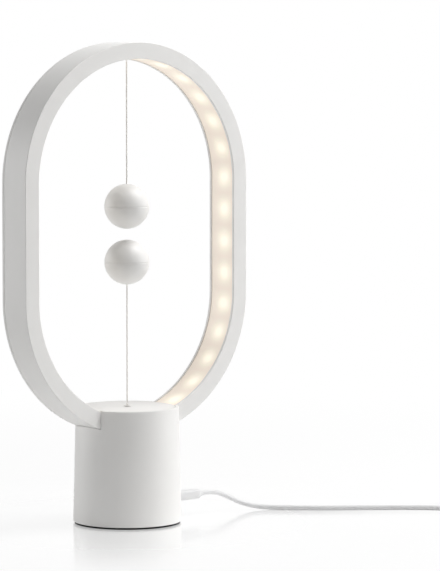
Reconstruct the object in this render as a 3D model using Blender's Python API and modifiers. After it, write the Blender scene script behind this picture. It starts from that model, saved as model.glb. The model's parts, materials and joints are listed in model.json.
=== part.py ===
"""Magnetic balance lamp: a lit oval ring on a round base, with two magnetic balls on cords.

Lifting the lower ball until the upper one attracts it pulls its cord taut, and the cord
pulls the switch inside the base. The lamp is modelled switched on, as in use.
Metres, +Z up. The origin is the middle of the base's underside. The ring stands in the
XZ plane, its plain face towards -Y, and the cable leaves the base towards +X.
"""

import math

import bmesh
import bpy
from mathutils import Vector

# Clearances shared by the whole lamp
SEAT_GAP = 0.0003
CUT_OVERRUN = 0.003
MERGE = 0.00001

# Base shell, a slightly tapered moulding
BASE_HEIGHT = 0.086
BASE_FOOT_RADIUS = 0.040
BASE_TOP_RADIUS = 0.038
BASE_WALL = 0.0025
BASE_RIM_ROUND = 0.0005
BASE_STEPS = 48

# Rubber foot and the plate that closes the base from below
FOOT_THICKNESS = 0.0012
FOOT_INSET = 0.0010
PLATE_THICKNESS = 0.0025

# Four columns inside the shell, which carry the saddle and take the screws
COLUMN_COUNT = 4
COLUMN_RADIUS = 0.0034
COLUMN_TOP = 0.052
WEB_THICKNESS = 0.0018
WEB_BITE_SHARE = 0.6
PILOT_DEPTH = 0.010

# Screws
SCREW_SHANK_RADIUS = 0.0011
SCREW_HEAD_RADIUS = 0.0021
SCREW_HEAD_HEIGHT = 0.0012
SCREW_LENGTH = 0.009
SCREW_TOP_SHARE = 0.8

# Oval ring: two half circles joined by straight limbs
RING_WIDTH = 0.203
RING_STRAIGHT = 0.084
RING_BAND = 0.012
RING_DEPTH = 0.029
RING_SUNK = 0.0195
RING_FACE_WALL = 0.0022
RING_OUTER_WALL = 0.002
RING_ARC_STEPS = 30
RIB_HEIGHT = 0.0015
RIB_DEPTH = 0.002

# Opal diffuser, set back a little between the two faces
DIFFUSER_THICKNESS = 0.0016
DIFFUSER_INSET = 0.0006

# Light strip and its chips
STRIP_WIDTH = 0.010
STRIP_THICKNESS = 0.0005
STRIP_END_REACH = 0.031
LED_PITCH = 0.024
LED_PHASE = -0.005
LED_LENGTH = 0.0035
LED_WIDTH = 0.0028
LED_HEIGHT = 0.0009

# Cords of the two balls
CORD_RADIUS = 0.00055
CORD_HOLE_RADIUS = 0.0010
KNOT_RADIUS = 0.00085
EYELET_BORE = 0.0015
EYELET_HUB_RADIUS = 0.0020
EYELET_FLANGE_RADIUS = 0.0026
EYELET_FLANGE_HEIGHT = 0.0005
STOP_RADIUS = 0.0018

# Balls and their magnets
BALL_RADIUS = 0.0165
BALL_WALL = 0.0016
BALL_GAP = 0.008
BALL_PAIR_HEIGHT = 0.213
BALL_STEPS = 28
BALL_ARC_STEPS = 6
SEAM_RELIEF = 0.0003
MAGNET_RADIUS = 0.0075
MAGNET_THICKNESS = 0.006
POCKET_WALL = 0.0012

# Cap that closes the base on top, and its two posts
CAP_THICKNESS = 0.0025
CAP_POST_RADIUS = 0.003
CAP_POST_SPREAD = 0.024

# Saddle that the ring stands on
SADDLE_THICKNESS = 0.003
CRADLE_LENGTH = 0.032
CRADLE_WIDTH = 0.024
RING_SCREW_SPREAD = 0.010
RING_SCREW_LENGTH = 0.0165
RING_BOSS_RADIUS = 0.0028
RING_BOSS_HEIGHT = 0.004
WIRE_HOLE_RADIUS = 0.0019
WIRE_HOLE_REACH = 0.020

# Ballast with a pocket for the circuit board
BALLAST_CLEARANCE = 0.0004
BALLAST_HEIGHT = 0.016
POCKET_CLEARANCE = 0.0018
POCKET_WIDTH = 0.026

# Circuit board and what stands on it
BOARD_EDGE_CLEARANCE = 0.0019
BOARD_LENGTH = 0.022
BOARD_WIDTH = 0.020
BOARD_THICKNESS = 0.0016
BOARD_POST_RADIUS = 0.0024
BOARD_POST_SPREAD = 0.007
BOARD_POST_INSET = 0.0035
BOARD_SCREW_LENGTH = 0.005
BOARD_SCREW_SHANK = 0.0009
BOARD_SCREW_HEAD = 0.0017
CHIP_SIZE = (0.0049, 0.0039, 0.0015)
CHIP_PLACE = (0.0125, 0.004)
CAPACITOR_RADIUS = 0.0025
CAPACITOR_HEIGHT = 0.006
CAPACITOR_PLACE = (0.0115, -0.004)

# Socket for the cable's small plug
SOCKET_HEIGHT = 0.0155
SOCKET_WIDTH = 0.0079
SOCKET_TALL = 0.0033
SOCKET_DEPTH = 0.0056
SOCKET_SHELL = 0.0003
SOCKET_SETBACK = 0.0006
SOCKET_BACK = 0.0008
TONGUE_THICKNESS = 0.0004
TONGUE_WIDTH = 0.0036

# Pull switch under the saddle
BARREL_RADIUS = 0.0065
BARREL_BORE = 0.0046
BARREL_LENGTH = 0.024
BARREL_FLANGE = (0.024, 0.015, 0.0025)
BARREL_CAP_THICKNESS = 0.0015
SLIDER_LENGTH = 0.008
SLIDER_TRAVEL = 0.0035
SLIDER_CLEARANCE = 0.0004
SPRING_SPACE = 0.005
SPRING_TURNS = 3
SPRING_WIRE = 0.0003
SPRING_RADIUS = 0.0033
FIN_THICKNESS = 0.002
FIN_HEIGHT = 0.0044
FIN_REACH = 0.0098
PEG_SIZE = 0.0016
PEG_REACH = 0.0034
SWITCH_BODY = (0.0044, 0.0046, 0.0098)
SWITCH_START = 0.0102
CHEEK_THICKNESS = 0.0015
CHEEK_HEIGHT = 0.0125

# Two-core leads inside the base
LEAD_RADIUS = 0.0009
LEAD_ALONG_SHARE = 0.16
LEAD_ACROSS_SHARE = 0.42

# USB cable: the small plug, the free run, the coil and the large plug
CABLE_RADIUS = 0.0018
PLUG_BODY_LENGTH = 0.026
PLUG_BODY_WIDTH = 0.0105
PLUG_BODY_TALL = 0.0072
PLUG_STANDOFF = 0.0005
PLUG_TIP_WIDTH = 0.0067
PLUG_TIP_TALL = 0.0019
PLUG_RELIEF_LENGTH = 0.004
RELIEF_ROOT_RADIUS = 0.0031
PLUG_ROUND = 0.0026
RUN_STRAIGHT = 0.006
COIL_APPROACH = 0.016
COIL_CLEARANCE = 0.0005
COIL_MEAN_RADIUS = 0.020
COIL_LAYERS = 4
COIL_TURNS_PER_LAYER = 2.25
COIL_POINTS_PER_TURN = 24
COIL_CENTRE = (0.262, -0.102)
COIL_START_ANGLE_DEG = 231.0
TAIL_BEND_RADIUS = 0.020
TAIL_TURN_DEG = 141.0
TAIL_STEPS = 6
HOST_BODY = (0.0155, 0.0075, 0.021)
HOST_SHELL = (0.012, 0.0045, 0.0185)
HOST_SHELL_WALL = 0.0003
HOST_RELIEF_LENGTH = 0.007
HOST_ROUND = 0.0022

# Height of each level, worked out from the sizes above
RING_END_RADIUS = RING_WIDTH / 2
RING_CENTRE = BASE_HEIGHT - RING_SUNK + RING_END_RADIUS + RING_STRAIGHT / 2
RING_INNER_RADIUS = RING_END_RADIUS - RING_BAND
INNER_TOP = RING_CENTRE + RING_STRAIGHT / 2 + RING_INNER_RADIUS
SHELL_BOTTOM = FOOT_THICKNESS + SEAT_GAP
PLATE_TOP = SHELL_BOTTOM + PLATE_THICKNESS
SADDLE_BOTTOM = COLUMN_TOP + SEAT_GAP
SADDLE_TOP = SADDLE_BOTTOM + SADDLE_THICKNESS
CAP_BOTTOM = BASE_HEIGHT - CAP_THICKNESS
DIFFUSER_FACE_RADIUS = RING_INNER_RADIUS + DIFFUSER_INSET
UPPER_BALL_HEIGHT = BALL_PAIR_HEIGHT + BALL_GAP / 2 + BALL_RADIUS
LOWER_BALL_HEIGHT = BALL_PAIR_HEIGHT - BALL_GAP / 2 - BALL_RADIUS
UPPER_PIVOT = INNER_TOP - KNOT_RADIUS
LOWER_PIVOT = BASE_HEIGHT + EYELET_FLANGE_HEIGHT + SEAT_GAP + KNOT_RADIUS
BARREL_TOP = COLUMN_TOP
BARREL_BORE_TOP = BARREL_TOP - BARREL_FLANGE[2]
BARREL_BOTTOM = BARREL_TOP - BARREL_LENGTH
SLIDER_TOP = BARREL_BORE_TOP - SPRING_SPACE
BOARD_TOP = SOCKET_HEIGHT - SOCKET_TALL / 2 - SEAT_GAP
BOARD_BOTTOM = BOARD_TOP - BOARD_THICKNESS


def base_radius(height):
    """Outer radius of the tapered base at a height."""
    share = (height - SHELL_BOTTOM) / (BASE_HEIGHT - SHELL_BOTTOM)
    return BASE_FOOT_RADIUS + (BASE_TOP_RADIUS - BASE_FOOT_RADIUS) * share


NARROW_RADIUS = min(base_radius(PLATE_TOP), base_radius(SADDLE_TOP + SCREW_HEAD_HEIGHT))
COLUMN_REACH = NARROW_RADIUS - BASE_WALL - COLUMN_RADIUS
BALLAST_RADIUS = COLUMN_REACH - COLUMN_RADIUS - BALLAST_CLEARANCE
BOARD_END = base_radius(BOARD_TOP) - BASE_WALL - BOARD_EDGE_CLEARANCE
BOARD_START = BOARD_END - BOARD_LENGTH
POCKET_START = BOARD_START - POCKET_CLEARANCE


# Scene and collections

for leftover in list(bpy.data.objects):
    bpy.data.objects.remove(leftover, do_unlink=True)

lamp = bpy.data.collections.new("magnetic_balance_lamp")
tools = bpy.data.collections.new("cutters_and_guides")
bpy.context.scene.collection.children.link(lamp)
bpy.context.scene.collection.children.link(tools)


# Materials

def make_material(name, colour, roughness, metallic=0.0, alpha=1.0):
    """A Principled material of one colour."""
    made = bpy.data.materials.new(name)
    made.use_nodes = True
    shader = made.node_tree.nodes["Principled BSDF"]
    shader.inputs["Base Color"].default_value = (*colour, 1.0)
    shader.inputs["Roughness"].default_value = roughness
    shader.inputs["Metallic"].default_value = metallic
    shader.inputs["Alpha"].default_value = alpha
    return made


WHITE_ABS = make_material("white_abs", (0.80, 0.80, 0.79), 0.45)
OPAL = make_material("opal_diffuser", (0.95, 0.90, 0.80), 0.40)
WHITE_CORD = make_material("white_cord", (0.62, 0.62, 0.60), 0.80)
WHITE_CABLE = make_material("white_cable", (0.78, 0.78, 0.78), 0.50)
BLACK_RUBBER = make_material("black_rubber", (0.02, 0.02, 0.02), 0.85)
STEEL = make_material("zinc_plated_steel", (0.55, 0.55, 0.56), 0.35, 1.0)
NICKEL = make_material("nickel_plate", (0.66, 0.64, 0.60), 0.22, 1.0)
BOARD_GREEN = make_material("circuit_board_green", (0.02, 0.16, 0.06), 0.50)
STRIP_WHITE = make_material("strip_white", (0.85, 0.85, 0.82), 0.55)
BLACK_PLASTIC = make_material("black_plastic", (0.03, 0.03, 0.03), 0.50)
WIRE_RED = make_material("wire_insulation", (0.45, 0.03, 0.02), 0.50)


# Helpers that make, cut and join Blender objects

def new_object(name, data, collection=lamp, material=None):
    """Links an object for some mesh or curve data and gives it its material."""
    made = bpy.data.objects.new(name, data)
    collection.objects.link(made)
    if material is not None:
        data.materials.append(material)
    return made


def as_tool(obj):
    """Marks an object as a cutter or guide, which is not part of the lamp."""
    for collection in list(obj.users_collection):
        collection.objects.unlink(obj)
    tools.objects.link(obj)
    obj.hide_render = True
    obj.display_type = "WIRE"
    return obj


def mesh_object(name, bm, material=None, smooth_deg=35.0):
    """Turns a bmesh into a shaded object."""
    bmesh.ops.recalc_face_normals(bm, faces=bm.faces)
    mesh = bpy.data.meshes.new(name)
    bm.to_mesh(mesh)
    bm.free()
    mesh.shade_smooth()
    mesh.set_sharp_from_angle(angle=math.radians(smooth_deg))
    return new_object(name, mesh, material=material)


def box(name, size, centre, material=None):
    """A block of a given size about a centre."""
    bm = bmesh.new()
    bmesh.ops.create_cube(bm, size=1.0)
    bmesh.ops.scale(bm, vec=size, verts=bm.verts)
    made = mesh_object(name, bm, material)
    made.location = centre
    return made


def cylinder(name, radius, bottom, top, place=(0.0, 0.0), material=None, sides=24, top_radius=None):
    """An upright cylinder or cone between two heights."""
    bm = bmesh.new()
    bmesh.ops.create_cone(
        bm,
        cap_ends=True,
        segments=sides,
        radius1=radius,
        radius2=radius if top_radius is None else top_radius,
        depth=top - bottom,
    )
    made = mesh_object(name, bm, material)
    made.location = (place[0], place[1], (bottom + top) / 2)
    return made


def turned(name, profile, material=None, steps=32, closed=False, height=0.0, smooth_deg=35.0):
    """Turns a profile of (radius, height) points about Z. An open one starts and ends on the axis."""
    mesh = bpy.data.meshes.new(name)
    points = [(radius, 0.0, z) for radius, z in profile]
    edges = [(i, i + 1) for i in range(len(points) - 1)]
    if closed:
        edges.append((len(points) - 1, 0))
    mesh.from_pydata(points, edges, [])
    made = new_object(name, mesh, material=material)
    screw = made.modifiers.new("turn", "SCREW")
    screw.axis = "Z"
    screw.steps = steps
    screw.render_steps = steps
    screw.use_merge_vertices = True
    screw.merge_threshold = MERGE
    screw.use_smooth_shade = True
    made.location.z = height
    return made


def boolean(obj, other, operation="DIFFERENCE"):
    """Cuts or joins with another object, which becomes a tool."""
    step = obj.modifiers.new(operation.lower(), "BOOLEAN")
    step.operation = operation
    step.solver = "EXACT"
    step.object = as_tool(other)
    return obj


def welded(curve_object, name=None):
    """Makes a curve object a closed mesh, so that it can be cut or joined."""
    graph = bpy.context.evaluated_depsgraph_get()
    mesh = bpy.data.meshes.new_from_object(curve_object.evaluated_get(graph))
    bm = bmesh.new()
    bm.from_mesh(mesh)
    bmesh.ops.remove_doubles(bm, verts=bm.verts, dist=MERGE)
    bmesh.ops.recalc_face_normals(bm, faces=bm.faces)
    bm.to_mesh(mesh)
    bm.free()
    mesh.set_sharp_from_angle(angle=math.radians(30.0))
    made = new_object(name or curve_object.name, mesh)
    made.matrix_world = curve_object.matrix_world
    old_name = curve_object.name
    bpy.data.objects.remove(curve_object, do_unlink=True)
    made.name = name or old_name
    return made


def merged(name, pieces):
    """Several separate meshes in one object, to be joined to something that holds them all."""
    graph = bpy.context.evaluated_depsgraph_get()
    bm = bmesh.new()
    for piece in pieces:
        mesh = bpy.data.meshes.new_from_object(piece.evaluated_get(graph))
        mesh.transform(piece.matrix_world)
        bm.from_mesh(mesh)
    for piece in pieces:
        bpy.data.objects.remove(piece, do_unlink=True)
    return mesh_object(name, bm)


# Outlines and sweeps of the oval ring

def oval_points(radius, steps=RING_ARC_STEPS):
    """Points of the oval at a distance from its two arc centres, in the ring's plane."""
    half = RING_STRAIGHT / 2
    points = []
    for start, centre in ((0.0, half), (math.pi, -half)):
        for i in range(steps + 1):
            turn = start + math.pi * i / steps
            points.append((radius * math.cos(turn), centre + radius * math.sin(turn)))
    return points


def oval_length(radius):
    """Distance once round the oval."""
    return 2 * RING_STRAIGHT + 2 * math.pi * radius


def oval_at(distance, radius):
    """Point and outward direction on the oval, measured upwards from the middle of the right limb."""
    quarter = math.pi * radius
    distance = (distance + RING_STRAIGHT / 2) % oval_length(radius)
    if distance < RING_STRAIGHT:
        return (radius, distance - RING_STRAIGHT / 2), 0.0
    distance -= RING_STRAIGHT
    if distance < quarter:
        turn = distance / radius
        return (radius * math.cos(turn), RING_STRAIGHT / 2 + radius * math.sin(turn)), turn
    distance -= quarter
    if distance < RING_STRAIGHT:
        return (-radius, RING_STRAIGHT / 2 - distance), math.pi
    turn = math.pi + (distance - RING_STRAIGHT) / radius
    return (radius * math.cos(turn), radius * math.sin(turn) - RING_STRAIGHT / 2), turn


def flat_outline(name, outlines, front, back):
    """A plate in the ring's plane between two depths, from closed outlines of (x, z) points."""
    curve = bpy.data.curves.new(name, "CURVE")
    curve.dimensions = "2D"
    curve.fill_mode = "BOTH"
    curve.extrude = (back - front) / 2
    for outline in outlines:
        spline = curve.splines.new("POLY")
        spline.points.add(len(outline) - 1)
        for point, (x, z) in zip(spline.points, outline):
            point.co = (x, z, 0.0, 1.0)
        spline.use_cyclic_u = True
    made = new_object(name, curve)
    made.rotation_euler.x = math.radians(90.0)
    made.location = (0.0, (front + back) / 2, RING_CENTRE)
    bpy.context.view_layer.update()
    return welded(made)


def oval_band(name, outer, inner, front, back):
    """A closed band of the oval between two radii and two depths."""
    return flat_outline(name, [oval_points(outer), oval_points(inner)], front, back)


def oval_prism(name, radius, front, back):
    """The whole oval filled in, used as a cutter."""
    return flat_outline(name, [oval_points(radius)], front, back)


# The ring: housing, back cover, diffuser, light strip and chips

RING_FRONT = -RING_DEPTH / 2
RING_BACK = RING_DEPTH / 2
COVER_FRONT = RING_BACK - RING_FACE_WALL
DIFFUSER_BACK_RADIUS = DIFFUSER_FACE_RADIUS + DIFFUSER_THICKNESS
WALL_INSIDE = RING_END_RADIUS - RING_OUTER_WALL


def cord_drill(name, bottom, top, radius=CORD_HOLE_RADIUS):
    """A cutter on the lamp's axis, for the holes that a cord passes through."""
    return cylinder(name, radius, bottom, top, sides=12)


def build_ring_housing():
    """Front face and outer wall in one moulding, with a ledge that the diffuser rests on."""
    housing = oval_band("ring_housing", RING_END_RADIUS, RING_INNER_RADIUS, RING_FRONT, COVER_FRONT - SEAT_GAP)
    housing.data.materials.append(WHITE_ABS)
    channel = oval_band(
        "ring_channel_cut",
        WALL_INSIDE,
        RING_INNER_RADIUS - CUT_OVERRUN,
        RING_FRONT + RING_FACE_WALL,
        COVER_FRONT + CUT_OVERRUN,
    )
    boolean(housing, channel)
    ledge_radius = DIFFUSER_BACK_RADIUS + SEAT_GAP
    ledge_front = RING_FRONT + RING_FACE_WALL
    ledge = oval_band(
        "diffuser_ledge",
        ledge_radius + RIB_HEIGHT,
        ledge_radius,
        ledge_front - RING_FACE_WALL / 2,
        ledge_front + RIB_DEPTH,
    )
    boolean(housing, ledge, "UNION")
    boss_bottom = RING_CENTRE - RING_STRAIGHT / 2 - RING_END_RADIUS + RING_OUTER_WALL / 2
    for side in (-1, 1):
        place = (side * RING_SCREW_SPREAD, 0.0)
        boss = cylinder("ring_boss", RING_BOSS_RADIUS, boss_bottom, boss_bottom + RING_BOSS_HEIGHT, place)
        boolean(housing, boss, "UNION")
        pilot = cylinder(
            "ring_boss_pilot",
            SCREW_SHANK_RADIUS + SEAT_GAP,
            boss_bottom - CUT_OVERRUN,
            boss_bottom + RING_BOSS_HEIGHT + CUT_OVERRUN,
            place,
            sides=12,
        )
        boolean(housing, pilot)
    outer_bottom = RING_CENTRE - RING_STRAIGHT / 2 - RING_END_RADIUS
    boolean(housing, cord_drill("housing_cord_hole", outer_bottom - CUT_OVERRUN, outer_bottom + RING_BAND / 2))
    wire_hole = cylinder(
        "housing_wire_hole",
        WIRE_HOLE_RADIUS,
        outer_bottom - CUT_OVERRUN,
        outer_bottom + RING_BAND / 2,
        (WIRE_HOLE_REACH, 0.0),
        sides=12,
    )
    boolean(housing, wire_hole)
    return housing


def build_back_cover():
    """Flat oval cover with a locating rib that enters the housing."""
    cover = oval_band("ring_back_cover", RING_END_RADIUS, RING_INNER_RADIUS, COVER_FRONT, RING_BACK)
    rib = oval_band(
        "cover_rib",
        WALL_INSIDE - SEAT_GAP,
        WALL_INSIDE - SEAT_GAP - RIB_HEIGHT,
        COVER_FRONT - RIB_DEPTH,
        COVER_FRONT + RING_FACE_WALL / 2,
    )
    cover.data.materials.append(WHITE_ABS)
    return boolean(cover, rib, "UNION")


def build_diffuser():
    """Opal band between the front face and the back cover, pierced for the two cords."""
    diffuser = oval_band(
        "ring_diffuser",
        DIFFUSER_BACK_RADIUS,
        DIFFUSER_FACE_RADIUS,
        RING_FRONT + RING_FACE_WALL + SEAT_GAP,
        COVER_FRONT - SEAT_GAP,
    )
    diffuser.data.materials.append(OPAL)
    face_top = RING_CENTRE + RING_STRAIGHT / 2 + DIFFUSER_FACE_RADIUS
    face_bottom = RING_CENTRE - RING_STRAIGHT / 2 - DIFFUSER_FACE_RADIUS
    reach = DIFFUSER_THICKNESS + CUT_OVERRUN
    hub_hole = EYELET_HUB_RADIUS + SEAT_GAP
    boolean(diffuser, cord_drill("diffuser_top_hole", face_top - CUT_OVERRUN, face_top + reach, hub_hole))
    boolean(diffuser, cord_drill("diffuser_bottom_hole", face_bottom - reach, face_bottom + CUT_OVERRUN))
    return diffuser


def strip_limits():
    """Distances along the strip's own radius at which it starts and ends, inside the base."""
    radius = WALL_INSIDE - SEAT_GAP
    angle = math.asin(STRIP_END_REACH / radius)
    half_loop = oval_length(radius) / 2
    to_bottom = math.pi / 2 * radius + RING_STRAIGHT / 2
    start = -(to_bottom - angle * radius)
    return start, start + 2 * half_loop - 2 * angle * radius


def strip_path(radius, start, end, steps):
    """Evenly spaced points of the strip at a radius."""
    points = []
    for i in range(steps + 1):
        (x, z), _ = oval_at(start + (end - start) * i / steps, radius)
        points.append((x, z))
    return points


def build_led_strip():
    """Flexible strip with its soldered chips, glued inside the outer wall and open at the bottom."""
    steps = 3 * RING_ARC_STEPS
    outer = WALL_INSIDE - SEAT_GAP
    inner = outer - STRIP_THICKNESS
    start, end = strip_limits()
    scale = oval_length(inner) / oval_length(outer)
    outline = strip_path(outer, start, end, steps)
    outline += reversed(strip_path(inner, start * scale, end * scale, steps))
    strip = flat_outline("led_strip", [outline], -STRIP_WIDTH / 2, STRIP_WIDTH / 2)
    strip.data.materials.append(STRIP_WHITE)
    return boolean(strip, led_chips(start, end), "UNION")


def led_chips(start, end):
    """One small lit package for each pitch, its foot a little inside the strip."""
    face_radius = WALL_INSIDE - SEAT_GAP - STRIP_THICKNESS / 2
    middle_radius = face_radius - LED_HEIGHT / 2
    shrink = oval_length(RING_INNER_RADIUS) / oval_length(WALL_INSIDE)
    chips = []
    first = math.ceil((start * shrink + LED_LENGTH - LED_PHASE) / LED_PITCH)
    last = math.floor((end * shrink - LED_LENGTH - LED_PHASE) / LED_PITCH)
    for k in range(first, last + 1):
        (x, z), turn = oval_at(LED_PHASE + k * LED_PITCH, RING_INNER_RADIUS)
        out = Vector((math.cos(turn), 0.0, math.sin(turn)))
        foot = Vector((x, 0.0, z + RING_CENTRE))
        seat = foot + out * (middle_radius - RING_INNER_RADIUS)
        chip = box("chip", (LED_HEIGHT, LED_WIDTH, LED_LENGTH), seat)
        chip.rotation_euler.y = -turn
        chips.append(chip)
    bpy.context.view_layer.update()
    return merged("led_chips", chips)


# The base

def column_turns():
    """Angles at which the four columns stand round the base."""
    return [math.radians(45.0) + 2 * math.pi * k / COLUMN_COUNT for k in range(COLUMN_COUNT)]


def column_places():
    """Where the four columns stand, just inside the narrower end of the shell."""
    return [(COLUMN_REACH * math.cos(turn), COLUMN_REACH * math.sin(turn)) for turn in column_turns()]


def column_web(turn):
    """A web that ties a column to the shell's wall over its whole height."""
    web_end = NARROW_RADIUS - BASE_WALL * (1 - WEB_BITE_SHARE)
    bottom = PLATE_TOP + SEAT_GAP
    middle = (COLUMN_REACH + web_end) / 2
    web = box(
        "web",
        (web_end - COLUMN_REACH, WEB_THICKNESS, COLUMN_TOP - bottom),
        (middle * math.cos(turn), middle * math.sin(turn), (COLUMN_TOP + bottom) / 2),
    )
    web.rotation_euler.z = turn
    return web


def notch_cutter(name):
    """The room that the ring takes in the shell's wall, open at the top."""
    half = RING_DEPTH / 2 + SEAT_GAP
    return oval_prism(name, RING_END_RADIUS + SEAT_GAP, -half, half)


def build_base_shell():
    """Tapered tube with four inner columns, two notches for the ring and a hole for the plug."""
    shell = turned(
        "base_shell",
        [
            (BASE_TOP_RADIUS - BASE_RIM_ROUND, BASE_HEIGHT),
            (BASE_TOP_RADIUS, BASE_HEIGHT - BASE_RIM_ROUND),
            (BASE_FOOT_RADIUS, SHELL_BOTTOM + BASE_RIM_ROUND),
            (BASE_FOOT_RADIUS - BASE_RIM_ROUND, SHELL_BOTTOM),
            (BASE_FOOT_RADIUS - BASE_WALL, SHELL_BOTTOM),
            (BASE_TOP_RADIUS - BASE_WALL, BASE_HEIGHT),
        ],
        WHITE_ABS,
        steps=BASE_STEPS,
        closed=True,
    )
    for turn, place in zip(column_turns(), column_places()):
        column = cylinder("column", COLUMN_RADIUS, PLATE_TOP + SEAT_GAP, COLUMN_TOP, place, sides=16)
        boolean(shell, column, "UNION")
        boolean(shell, column_web(turn), "UNION")
    for place in column_places():
        for bottom, top in (
            (PLATE_TOP - CUT_OVERRUN, PLATE_TOP + PILOT_DEPTH),
            (COLUMN_TOP - PILOT_DEPTH, COLUMN_TOP + CUT_OVERRUN),
        ):
            boolean(shell, cylinder("pilot", SCREW_SHANK_RADIUS + SEAT_GAP, bottom, top, place, sides=12))
    boolean(shell, notch_cutter("shell_notch_cut"))
    window = box(
        "socket_window_cut",
        (BASE_WALL * 4, SOCKET_WIDTH + 2 * SEAT_GAP, SOCKET_TALL + 2 * SEAT_GAP),
        (base_radius(SOCKET_HEIGHT), 0.0, SOCKET_HEIGHT),
    )
    boolean(shell, window)
    return shell


def build_top_cap():
    """Disc that closes the base on top, cut back round the ring, on two posts."""
    radius = BASE_TOP_RADIUS - BASE_WALL - SEAT_GAP
    cap = cylinder("base_top_cap", radius, CAP_BOTTOM, BASE_HEIGHT, material=WHITE_ABS, sides=BASE_STEPS)
    for side in (-1, 1):
        place = (0.0, side * CAP_POST_SPREAD)
        post = cylinder(
            "cap_post", CAP_POST_RADIUS, SADDLE_TOP + SEAT_GAP, CAP_BOTTOM + CAP_THICKNESS / 2, place, sides=16
        )
        boolean(cap, post, "UNION")
        pilot = cylinder(
            "cap_pilot",
            SCREW_SHANK_RADIUS + SEAT_GAP,
            SADDLE_TOP - CUT_OVERRUN,
            SADDLE_TOP + PILOT_DEPTH,
            place,
            sides=12,
        )
        boolean(cap, pilot)
    half = RING_DEPTH / 2 + SEAT_GAP
    room = oval_band(
        "cap_ring_room", RING_END_RADIUS + SEAT_GAP, RING_INNER_RADIUS - SEAT_GAP, -half, half
    )
    boolean(cap, room)
    hub_hole = EYELET_HUB_RADIUS + SEAT_GAP
    boolean(cap, cord_drill("cap_eyelet_hole", CAP_BOTTOM - CUT_OVERRUN, BASE_HEIGHT + CUT_OVERRUN, hub_hole))
    return cap


def eyelet(name, hub_end, flange_seat, outwards):
    """A flanged bush on the lamp's axis. The flange lies outwards (1 is up) of its seat, the hub inwards."""
    profile = [
        (EYELET_BORE, EYELET_FLANGE_HEIGHT),
        (EYELET_FLANGE_RADIUS - EYELET_FLANGE_HEIGHT / 2, EYELET_FLANGE_HEIGHT),
        (EYELET_FLANGE_RADIUS, 0.0),
        (EYELET_HUB_RADIUS, 0.0),
        (EYELET_HUB_RADIUS, -abs(hub_end - flange_seat)),
        (EYELET_BORE, -abs(hub_end - flange_seat)),
    ]
    if outwards < 0:
        profile = [(radius, -z) for radius, z in reversed(profile)]
    return turned(name, profile, WHITE_ABS, steps=20, closed=True, height=flange_seat)


def build_eyelets():
    """The bush in the base's cap, the one in the diffuser's top, and the upper cord's end above it."""
    eyelet("base_eyelet", CAP_BOTTOM, BASE_HEIGHT + SEAT_GAP, 1)
    seat = RING_CENTRE + RING_STRAIGHT / 2 + DIFFUSER_FACE_RADIUS - SEAT_GAP
    hub_top = seat + DIFFUSER_THICKNESS + SEAT_GAP
    eyelet("top_eyelet", hub_top, seat, -1)
    bead_centre = hub_top + math.sqrt((STOP_RADIUS + SEAT_GAP) ** 2 - EYELET_BORE**2)
    turned("top_cord_stop", ball_profile(STOP_RADIUS, bead_centre, 6), WHITE_CORD, steps=14)


def build_bottom_plate():
    """Plate with counterbored screw holes and two posts for the board."""
    radius = BASE_FOOT_RADIUS - BASE_WALL - SEAT_GAP
    plate = cylinder("base_bottom_plate", radius, SHELL_BOTTOM, PLATE_TOP, material=WHITE_ABS, sides=BASE_STEPS)
    for place in board_posts():
        post = cylinder(
            "board_post",
            BOARD_POST_RADIUS,
            PLATE_TOP - PLATE_THICKNESS / 2,
            BOARD_BOTTOM - SEAT_GAP,
            place,
            sides=12,
        )
        boolean(plate, post, "UNION")
        pilot = cylinder(
            "board_post_pilot",
            BOARD_SCREW_SHANK + SEAT_GAP,
            BOARD_TOP - BOARD_SCREW_LENGTH - SEAT_GAP,
            BOARD_TOP,
            place,
            sides=12,
        )
        boolean(plate, pilot)
    for place in column_places():
        through = cylinder(
            "plate_hole", SCREW_SHANK_RADIUS + SEAT_GAP, 0.0, PLATE_TOP + CUT_OVERRUN, place, sides=12
        )
        head_room = cylinder(
            "plate_counterbore",
            SCREW_HEAD_RADIUS + SEAT_GAP,
            0.0,
            SHELL_BOTTOM + SCREW_HEAD_HEIGHT + SEAT_GAP,
            place,
            sides=16,
        )
        boolean(boolean(plate, through), head_room)
    return plate


def board_posts():
    """The two places where the board is screwed down."""
    x = BOARD_START + BOARD_POST_INSET
    return [(x, side * BOARD_POST_SPREAD) for side in (-1, 1)]


def build_foot_pad():
    """Black anti-slip foot, glued under the base."""
    radius = BASE_FOOT_RADIUS - FOOT_INSET
    pad = cylinder("foot_pad", radius, 0.0, FOOT_THICKNESS, material=BLACK_RUBBER, sides=BASE_STEPS)
    return pad


def build_ballast():
    """Cast weight on the bottom plate, with a pocket for the board."""
    bottom = PLATE_TOP + SEAT_GAP
    ballast = cylinder(
        "ballast_weight", BALLAST_RADIUS, bottom, bottom + BALLAST_HEIGHT, material=STEEL, sides=40
    )
    length = BALLAST_RADIUS
    pocket = box(
        "ballast_pocket_cut",
        (length, POCKET_WIDTH, BALLAST_HEIGHT + 2 * CUT_OVERRUN),
        (POCKET_START + length / 2, 0.0, bottom + BALLAST_HEIGHT / 2),
    )
    return boolean(ballast, pocket)


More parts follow.
